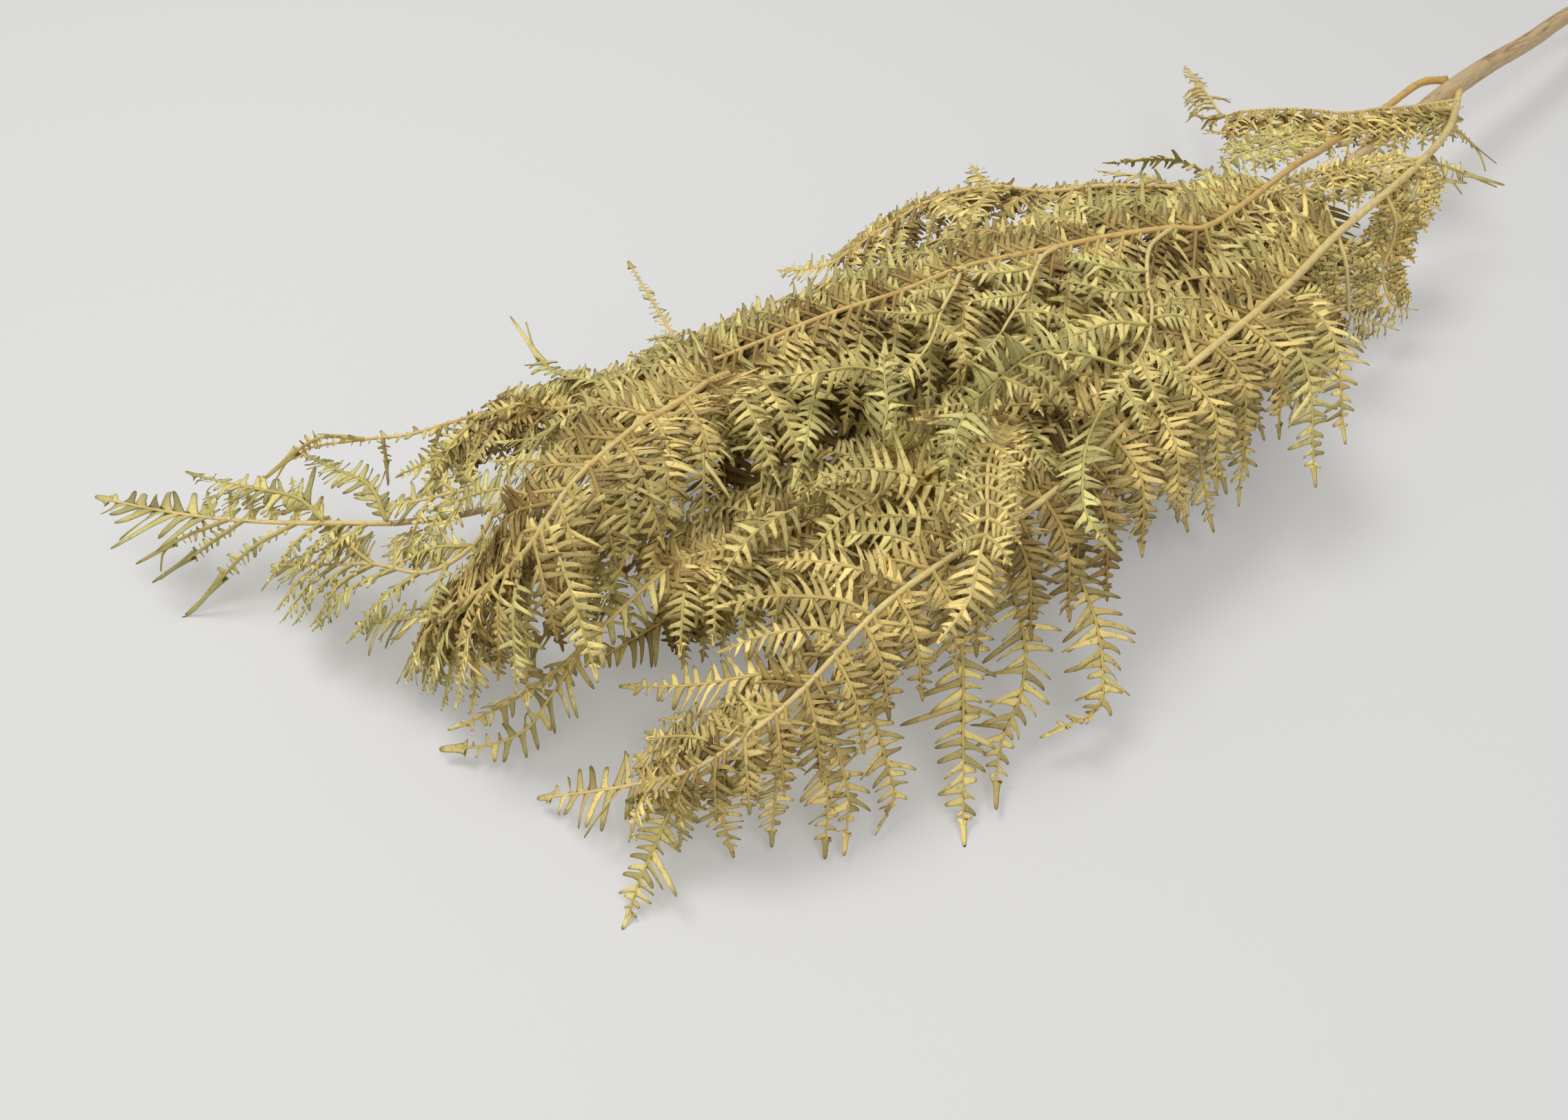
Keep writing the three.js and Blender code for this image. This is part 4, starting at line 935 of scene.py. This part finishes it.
def newGroup(name, inputs, outputs):
    tree = bpy.data.node_groups.new(name, 'ShaderNodeTree')
    for title, kind, value in inputs:
        made = tree.interface.new_socket(name=title, in_out='INPUT', socket_type=kind)
        if value is not None:
            made.default_value = value
    for title, kind in outputs:
        tree.interface.new_socket(name=title, in_out='OUTPUT', socket_type=kind)
    return tree, addNode(tree, 'NodeGroupInput').outputs, addNode(tree, 'NodeGroupOutput').inputs


# Fine dry grain with brown flecks, for leaflets and strands alike
grainForm = {"grainDetail": 3.0, "grainRoughness": 0.65, "fleckDetail": 4.0, "fleckRoughness": 0.7,
             "fleckStart": 0.78, "fleckEdge": 0.1, "fleckDepth": -0.3}


def makeGrainGroup(form):
    tree, given, out = newGroup(
        "dryGrain",
        [("Place", 'NodeSocketVector', None), ("Grain Scale", 'NodeSocketFloat', 2200.0),
         ("Fleck Scale", 'NodeSocketFloat', 500.0), ("Fleck Share", 'NodeSocketFloat', 0.2)],
        [("Grain", 'NodeSocketFloat'), ("Flecks", 'NodeSocketFloat'), ("Height", 'NodeSocketFloat')])
    grain, fleck = (
        addNode(tree, 'ShaderNodeTexNoise', {"Vector": given["Place"], "Scale": given[title + " Scale"],
                                             "Detail": form[title.lower() + "Detail"],
                                             "Roughness": form[title.lower() + "Roughness"]}).outputs["Fac"]
        for title in ("Grain", "Fleck"))
    start = compute(tree, 'SUBTRACT', form["fleckStart"], given["Fleck Share"])
    flecks = remap(tree, fleck, start, compute(tree, 'ADD', start, form["fleckEdge"]))
    lowered = compute(tree, 'MULTIPLY', flecks, form["fleckDepth"])
    height = compute(tree, 'ADD', grain, lowered)
    for title, value in (("Grain", grain), ("Flecks", flecks), ("Height", height)):
        tree.links.new(value, out[title])
    return tree


# From golden straw to grey green, with wide brown patches over the whole frond. A tone below 0 is browner:
# painted shade, given to the feathers deep inside the frond.
toneForm = {"patchScale": 34.0, "patchDetail": 3.0, "patchEdge": (0.52, 0.74), "shades": (0.35, 1.65),
            "brightness": (0.44, 1.45)}


def makeToneGroup(form):
    tree, given, out = newGroup(
        "driedTone",
        [("Tone", 'NodeSocketFloat', 0.3), ("Shade", 'NodeSocketFloat', 0.5),
         ("Grain", 'NodeSocketFloat', 0.5), ("Straw", 'NodeSocketColor', None),
         ("Green", 'NodeSocketColor', None), ("Brown", 'NodeSocketColor', None),
         ("Patch Share", 'NodeSocketFloat', 0.5)],
        [("Color", 'NodeSocketColor')])
    green = compute(tree, 'MAXIMUM', given["Tone"], 0.0)
    base = mixColors(tree, green, given["Straw"], given["Green"])
    place = addNode(tree, 'ShaderNodeTexCoord').outputs["Object"]
    patch = addNode(tree, 'ShaderNodeTexNoise', {"Vector": place, "Scale": form["patchScale"],
                                                 "Detail": form["patchDetail"]}).outputs["Fac"]
    patches = remap(tree, patch, *form["patchEdge"], high=given["Patch Share"])
    # A tone below 0 mixes in brown: painted shade for feathers deep inside the frond, added to the real brown
    # patches
    under = compute(tree, 'MAXIMUM', compute(tree, 'MULTIPLY', given["Tone"], -1.0), 0.0)
    brownPatchesAndShade = compute(tree, 'ADD', patches, under, use_clamp=True)
    base = mixColors(tree, brownPatchesAndShade, base, given["Brown"])
    light = compute(tree, 'ADD', given["Shade"], given["Grain"])
    bright = remap(tree, light, *form["shades"], *form["brightness"])
    grey = addNode(tree, 'ShaderNodeCombineColor', {0: bright, 1: bright, 2: bright}).outputs[0]
    tree.links.new(mixColors(tree, 1.0, base, grey, 'MULTIPLY'), out["Color"])
    return tree


grainGroup = makeGrainGroup(grainForm)
toneGroup = makeToneGroup(toneForm)


def newFinish(name, roughness):
    finish = bpy.data.materials.new(name)
    finish.use_nodes = True
    tree = finish.node_tree
    shader = tree.nodes["Principled BSDF"]
    shader.inputs["Roughness"].default_value = roughness
    shader.inputs["Specular IOR Level"].default_value = 0.3
    return finish, tree, shader


def attribute(tree, name, output="Fac"):
    return addNode(tree, 'ShaderNodeAttribute', attribute_name=name).outputs[output]


def placedGroup(tree, group, values):
    return addNode(tree, 'ShaderNodeGroup', values, node_tree=group).outputs


def grained(tree, look, place):
    values = {"Place": place, "Grain Scale": look["grainScale"], "Fleck Scale": look["fleckScale"],
              "Fleck Share": look["fleckShare"]}
    return placedGroup(tree, grainGroup, values)


def toned(tree, look, straw, green, shade, grain):
    values = {"Tone": attribute(tree, "tone"), "Shade": shade, "Grain": grain["Grain"],
              "Straw": tint(*look[straw]), "Green": tint(*look[green]), "Brown": tint(*look["brown"]),
              "Patch Share": look["patchShare"]}
    return placedGroup(tree, toneGroup, values)["Color"]


# Brown flecks and the grain's relief, which every finish has
def completeFinish(tree, shader, look, color, grain):
    flecked = compute(tree, 'MULTIPLY', grain["Flecks"], look["fleckStrength"])
    color = mixColors(tree, flecked, color, tint(*look["brown"]))
    bump = addNode(tree, 'ShaderNodeBump', {"Height": grain["Height"], "Strength": look["bump"],
                                            "Distance": look["bumpHeight"]})
    tree.links.new(color, shader.inputs["Base Color"])
    tree.links.new(bump.outputs["Normal"], shader.inputs["Normal"])


# A leaflet is pale at its rolled margins and along its vein. The pale margins are partly their own colour and
# partly a painted highlight on the raised margins. The darker middle is partly the leaf's colour and partly
# painted shade in the groove.
leafletFinish = {
    # Edge colours are pale, partly the margins' own colour and partly a painted highlight. Middle colours are
    # dark, partly the leaf's colour and partly painted shade in the groove.
    "strawEdge": (244, 220, 142), "greenEdge": (216, 206, 134), "strawMiddle": (140, 106, 42),
    "greenMiddle": (116, 100, 44), "brown": (100, 66, 22), "tip": (120, 98, 56), "tipFrom": 0.72,
    "tipShare": 0.75, "patchShare": 0.5, "rimAndHighlight": (0.5, 0.72), "vein": (0.0, 0.16), "veinShare": 0.45,
    "grainScale": 2600.0, "fleckScale": 620.0, "fleckShare": 0.2, "fleckStrength": 0.6, "roughness": 0.78,
    "bump": 0.35, "bumpHeight": 0.0004,
}


def makeLeafletFinish(look):
    finish, tree, shader = newFinish("leafletFinish", look["roughness"])
    grain = grained(tree, look, addNode(tree, 'ShaderNodeTexCoord').outputs["Object"])
    shade = attribute(tree, "shade")
    middle, marginAndHighlight = (toned(tree, look, "straw" + part, "green" + part, shade, grain)
                      for part in ("Middle", "Edge"))
    across = attribute(tree, "edge")
    # The rim mask puts the pale margin colour, partly a painted highlight, on the raised margins, and leaves
    # the darker middle, partly painted shade, in the groove
    rimAndHighlight = remap(tree, across, *look["rimAndHighlight"], kind='SMOOTHSTEP')
    vein = remap(tree, across, *look["vein"], look["veinShare"], 0.0)
    color = mixColors(tree, compute(tree, 'MAXIMUM', rimAndHighlight, vein), middle, marginAndHighlight)
    tip = remap(tree, attribute(tree, "along"), look["tipFrom"], 1.0, high=look["tipShare"])
    color = mixColors(tree, tip, color, tint(*look["tip"]))
    completeFinish(tree, shader, look, color, grain)
    return finish


ribFinish = {
    "name": "ribFinish", "straw": (226, 202, 128), "green": (206, 192, 118), "brown": (140, 106, 48),
    "patchShare": 0.3, "grainScale": 1500.0, "fleckScale": 420.0, "fleckShare": 0.2, "fleckStrength": 0.7,
    "roughness": 0.7, "bump": 0.3, "bumpHeight": 0.0005, "stretch": 0.3,
}
costaFinish = {
    **ribFinish, "name": "costaFinish", "straw": (238, 216, 150), "green": (222, 180, 102),
    "brown": (150, 106, 52), "patchShare": 0.2, "grainScale": 1300.0, "fleckScale": 800.0, "roughness": 0.6,
    "bump": 0.35, "stretch": 0.22,
}
stemFinish = {
    **ribFinish, "name": "stemFinish", "straw": (214, 188, 144), "green": (178, 150, 104),
    "brown": (138, 96, 54), "fleckScale": 380.0, "fleckShare": 0.25, "roughness": 0.62, "bump": 0.5,
    "stretch": 0.07,
}


# Strands are streaked lengthwise: their grain is read around and along them
def makeStrandFinish(look):
    finish, tree, shader = newFinish(look["name"], look["roughness"])
    place = addNode(tree, 'ShaderNodeMapping', {"Vector": attribute(tree, "grain", "Vector"),
                                                "Scale": (1.0, 1.0, look["stretch"])}).outputs[0]
    grain = grained(tree, look, place)
    color = toned(tree, look, "straw", "green", 0.5, grain)
    completeFinish(tree, shader, look, color, grain)
    return finish


finishes = {
    "leaflets": makeLeafletFinish(leafletFinish),
    "ribs": makeStrandFinish(ribFinish),
    "costa": makeStrandFinish(costaFinish),
    "stem": makeStrandFinish(stemFinish),
}
print("finishes made")


def addPiece(name, mesh, finish, node):
    piece = bpy.data.objects.new(name, mesh)
    bpy.context.scene.collection.objects.link(piece)
    mesh.materials.append(finishes[finish])
    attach(piece, "root")
    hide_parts(node)
    return piece


stemRoad = Route(stemRoute)
stemPart = stemRoad.stretch(0, growth["stemEnd"])
tipPart = stemRoad.stretch(growth["stemEnd"] + 0.001, 1)


def addStem(made):
    count = round(stemPart.length / stem["step"])
    marks = np.linspace(0, stemPart.length, count)
    share = marks / stemRoad.length
    random = np.random.default_rng(seeds["stem"])
    radii = interpolate(stem["radii"], share)
    radii = radii * (1 + random.normal(0, stem["waver"], count))
    addStrand(made, stemPart, marks, radii, stem["sides"], 0.0, stem["ridges"])
    bmesh.ops.bisect_plane(made, geom=made.verts[:] + made.edges[:] + made.faces[:], plane_co=(0, 0, 0),
                           plane_no=(0, 0, -1), clear_outer=True)
    bmesh.ops.holes_fill(made, edges=[edge for edge in made.edges if edge.is_boundary])


addPiece("stem", strandMesh("stem", addStem), "stem", "main_stem")
print("stem made")

leafletMesh = leafletTemplate("leafletTemplate", leafletForm)
webbedMesh = leafletTemplate("webbedTemplate", webbedForm)
smallMesh = leafletTemplate("smallTemplate", smallForm)
underMesh = leafletTemplate("underTemplate", underForm)

sprays = {**pinnae, "frond_tip": {**frondTip, "route": tipPart.points[::8].tolist()}}


def layerOf(grown):
    if grown["kind"] == "small":
        return "_smallLeaflets"
    return "_underLeaflets" if grown.get("isUnder") else "_leaflets"


def addFeathers(name, node, feathers, featherTones, wide):
    def addRibs(made):
        for grown, tone in zip(feathers, featherTones):
            if grown["kind"] != "tail":
                addRib(made, grown, tone)

    addPiece(name + "_ribs", strandMesh(name + "_ribs", addRibs), "ribs", node)
    count = 0
    for title, mesh in (("_leaflets", wide), ("_smallLeaflets", smallMesh), ("_underLeaflets", underMesh)):
        chosen = [(grown, tone) for grown, tone in zip(feathers, featherTones) if layerOf(grown) == title]
        if chosen:
            made = stampLeaflets(name + title, mesh, *zip(*chosen))
            addPiece(name + title, made, "leaflets", node)
            count += len(made.polygons)
    return count


total = 0
for order, (node, spray) in enumerate(sprays.items()):
    pinna = growPinna(spray, order)
    random = np.random.default_rng(seeds["tones"] + order)
    spread = growth["toneSpread"]
    # Feathers low inside get a tone below 0: their brown is painted shade
    featherTones = [underGrowth["tone"] + random.uniform(-1, 1) * underGrowth["spread"]
                    if grown.get("isUnder")
                    else min(max(spray["tone"] + random.uniform(-spread, spread), 0), 1)
                    for grown in pinna["feathers"]]

    def addCostae(made):
        look = {**costa, "foot": spray["radius"], "taper": spray.get("taper", 1)}
        addCosta(made, pinna["costa"], look, seeds["costa"] + order, spray["costaTone"])
        for road in pinna["twigs"] + pinna["leafyTwigs"]:
            addCosta(made, road, twigRule, seeds["twig"] + order, 0.0)

    addPiece(node + "_costa", strandMesh(node + "_costa", addCostae), "costa", node)
    wide = webbedMesh if spray.get("isWebbed") else leafletMesh
    total += addFeathers(node, node, pinna["feathers"], featherTones, wide)
    print(node, "grown:", len(pinna["feathers"]), "feathers")

# Low feathers along the rachis close the frond's inside. Their dark brown tone is painted shade.
innerGrowth = {"start": 350, "end": 615, "gap": 8.5, "reach": 62, "hang": hanging(52, -0.3, 0.9),
               "tone": -0.5, "node": "near_pinna_4"}
innerMarks = np.arange(innerGrowth["start"], innerGrowth["end"], innerGrowth["gap"])
innerFeathers = [ruledFeather(stemPart, mark, sign, innerGrowth["reach"], innerGrowth["hang"],
                              seeds["inner"] + 1.7 * k + sign, isUnder=True)
                 for k, mark in enumerate(innerMarks) for sign in (1, -1)]
innerTones = [innerGrowth["tone"]] * len(innerFeathers)
total += addFeathers("inner", innerGrowth["node"], innerFeathers, innerTones, leafletMesh)

for template in (leafletMesh, webbedMesh, smallMesh, underMesh):
    bpy.data.meshes.remove(template)
print("leaflet faces:", total)


# Floor, light and camera
def addStage():
    made = bmesh.new()
    bmesh.ops.create_grid(made, x_segments=1, y_segments=1, size=studio["floorSize"] / 2)
    mesh = meshOf(made, "floor")
    made.free()
    floor = bpy.data.objects.new("floor", mesh)
    bpy.context.scene.collection.objects.link(floor)
    finish, tree, shader = newFinish("floorFinish", 0.6)
    shader.inputs["Base Color"].default_value = tint(*studio["floorColor"])
    shader.inputs["Emission Color"].default_value = tint(*studio["floorColor"])
    shader.inputs["Emission Strength"].default_value = studio["floorGlow"]
    mesh.materials.append(finish)
    world = bpy.data.worlds.new("studioLight")
    world.use_nodes = True
    world.node_tree.nodes["Background"].inputs["Color"].default_value = tint(*studio["skyColor"])
    world.node_tree.nodes["Background"].inputs["Strength"].default_value = studio["skyStrength"]
    bpy.context.scene.world = world
    for k, lamp in enumerate(studio["lamps"]):
        light = bpy.data.lights.new("lamp" + str(k + 1), 'AREA')
        light.shape = 'DISK'
        light.size = lamp["size"]
        light.energy = lamp["watts"]
        holder = bpy.data.objects.new("lamp" + str(k + 1), light)
        holder.location = lamp["place"]
        aim = Vector(lamp["aim"]) - Vector(lamp["place"])
        holder.rotation_euler = aim.to_track_quat('-Z', 'Y').to_euler()
        bpy.context.scene.collection.objects.link(holder)


def addCamera():
    view = bpy.data.cameras.new("camera")
    view.sensor_fit = 'HORIZONTAL'
    view.lens = studio["lens"]
    view.sensor_width = studio["sensor"]
    view.clip_start = 0.01
    camera = bpy.data.objects.new("camera", view)
    camera.location = studio["cameraPlace"]
    camera.rotation_euler = (math.radians(90 - studio["downDegrees"]), 0,
                             math.radians(-studio["headingDegrees"]))
    bpy.context.scene.collection.objects.link(camera)
    bpy.context.scene.camera = camera


addStage()
addCamera()
bpy.context.scene.view_settings.view_transform = 'Standard'
print("stage set")
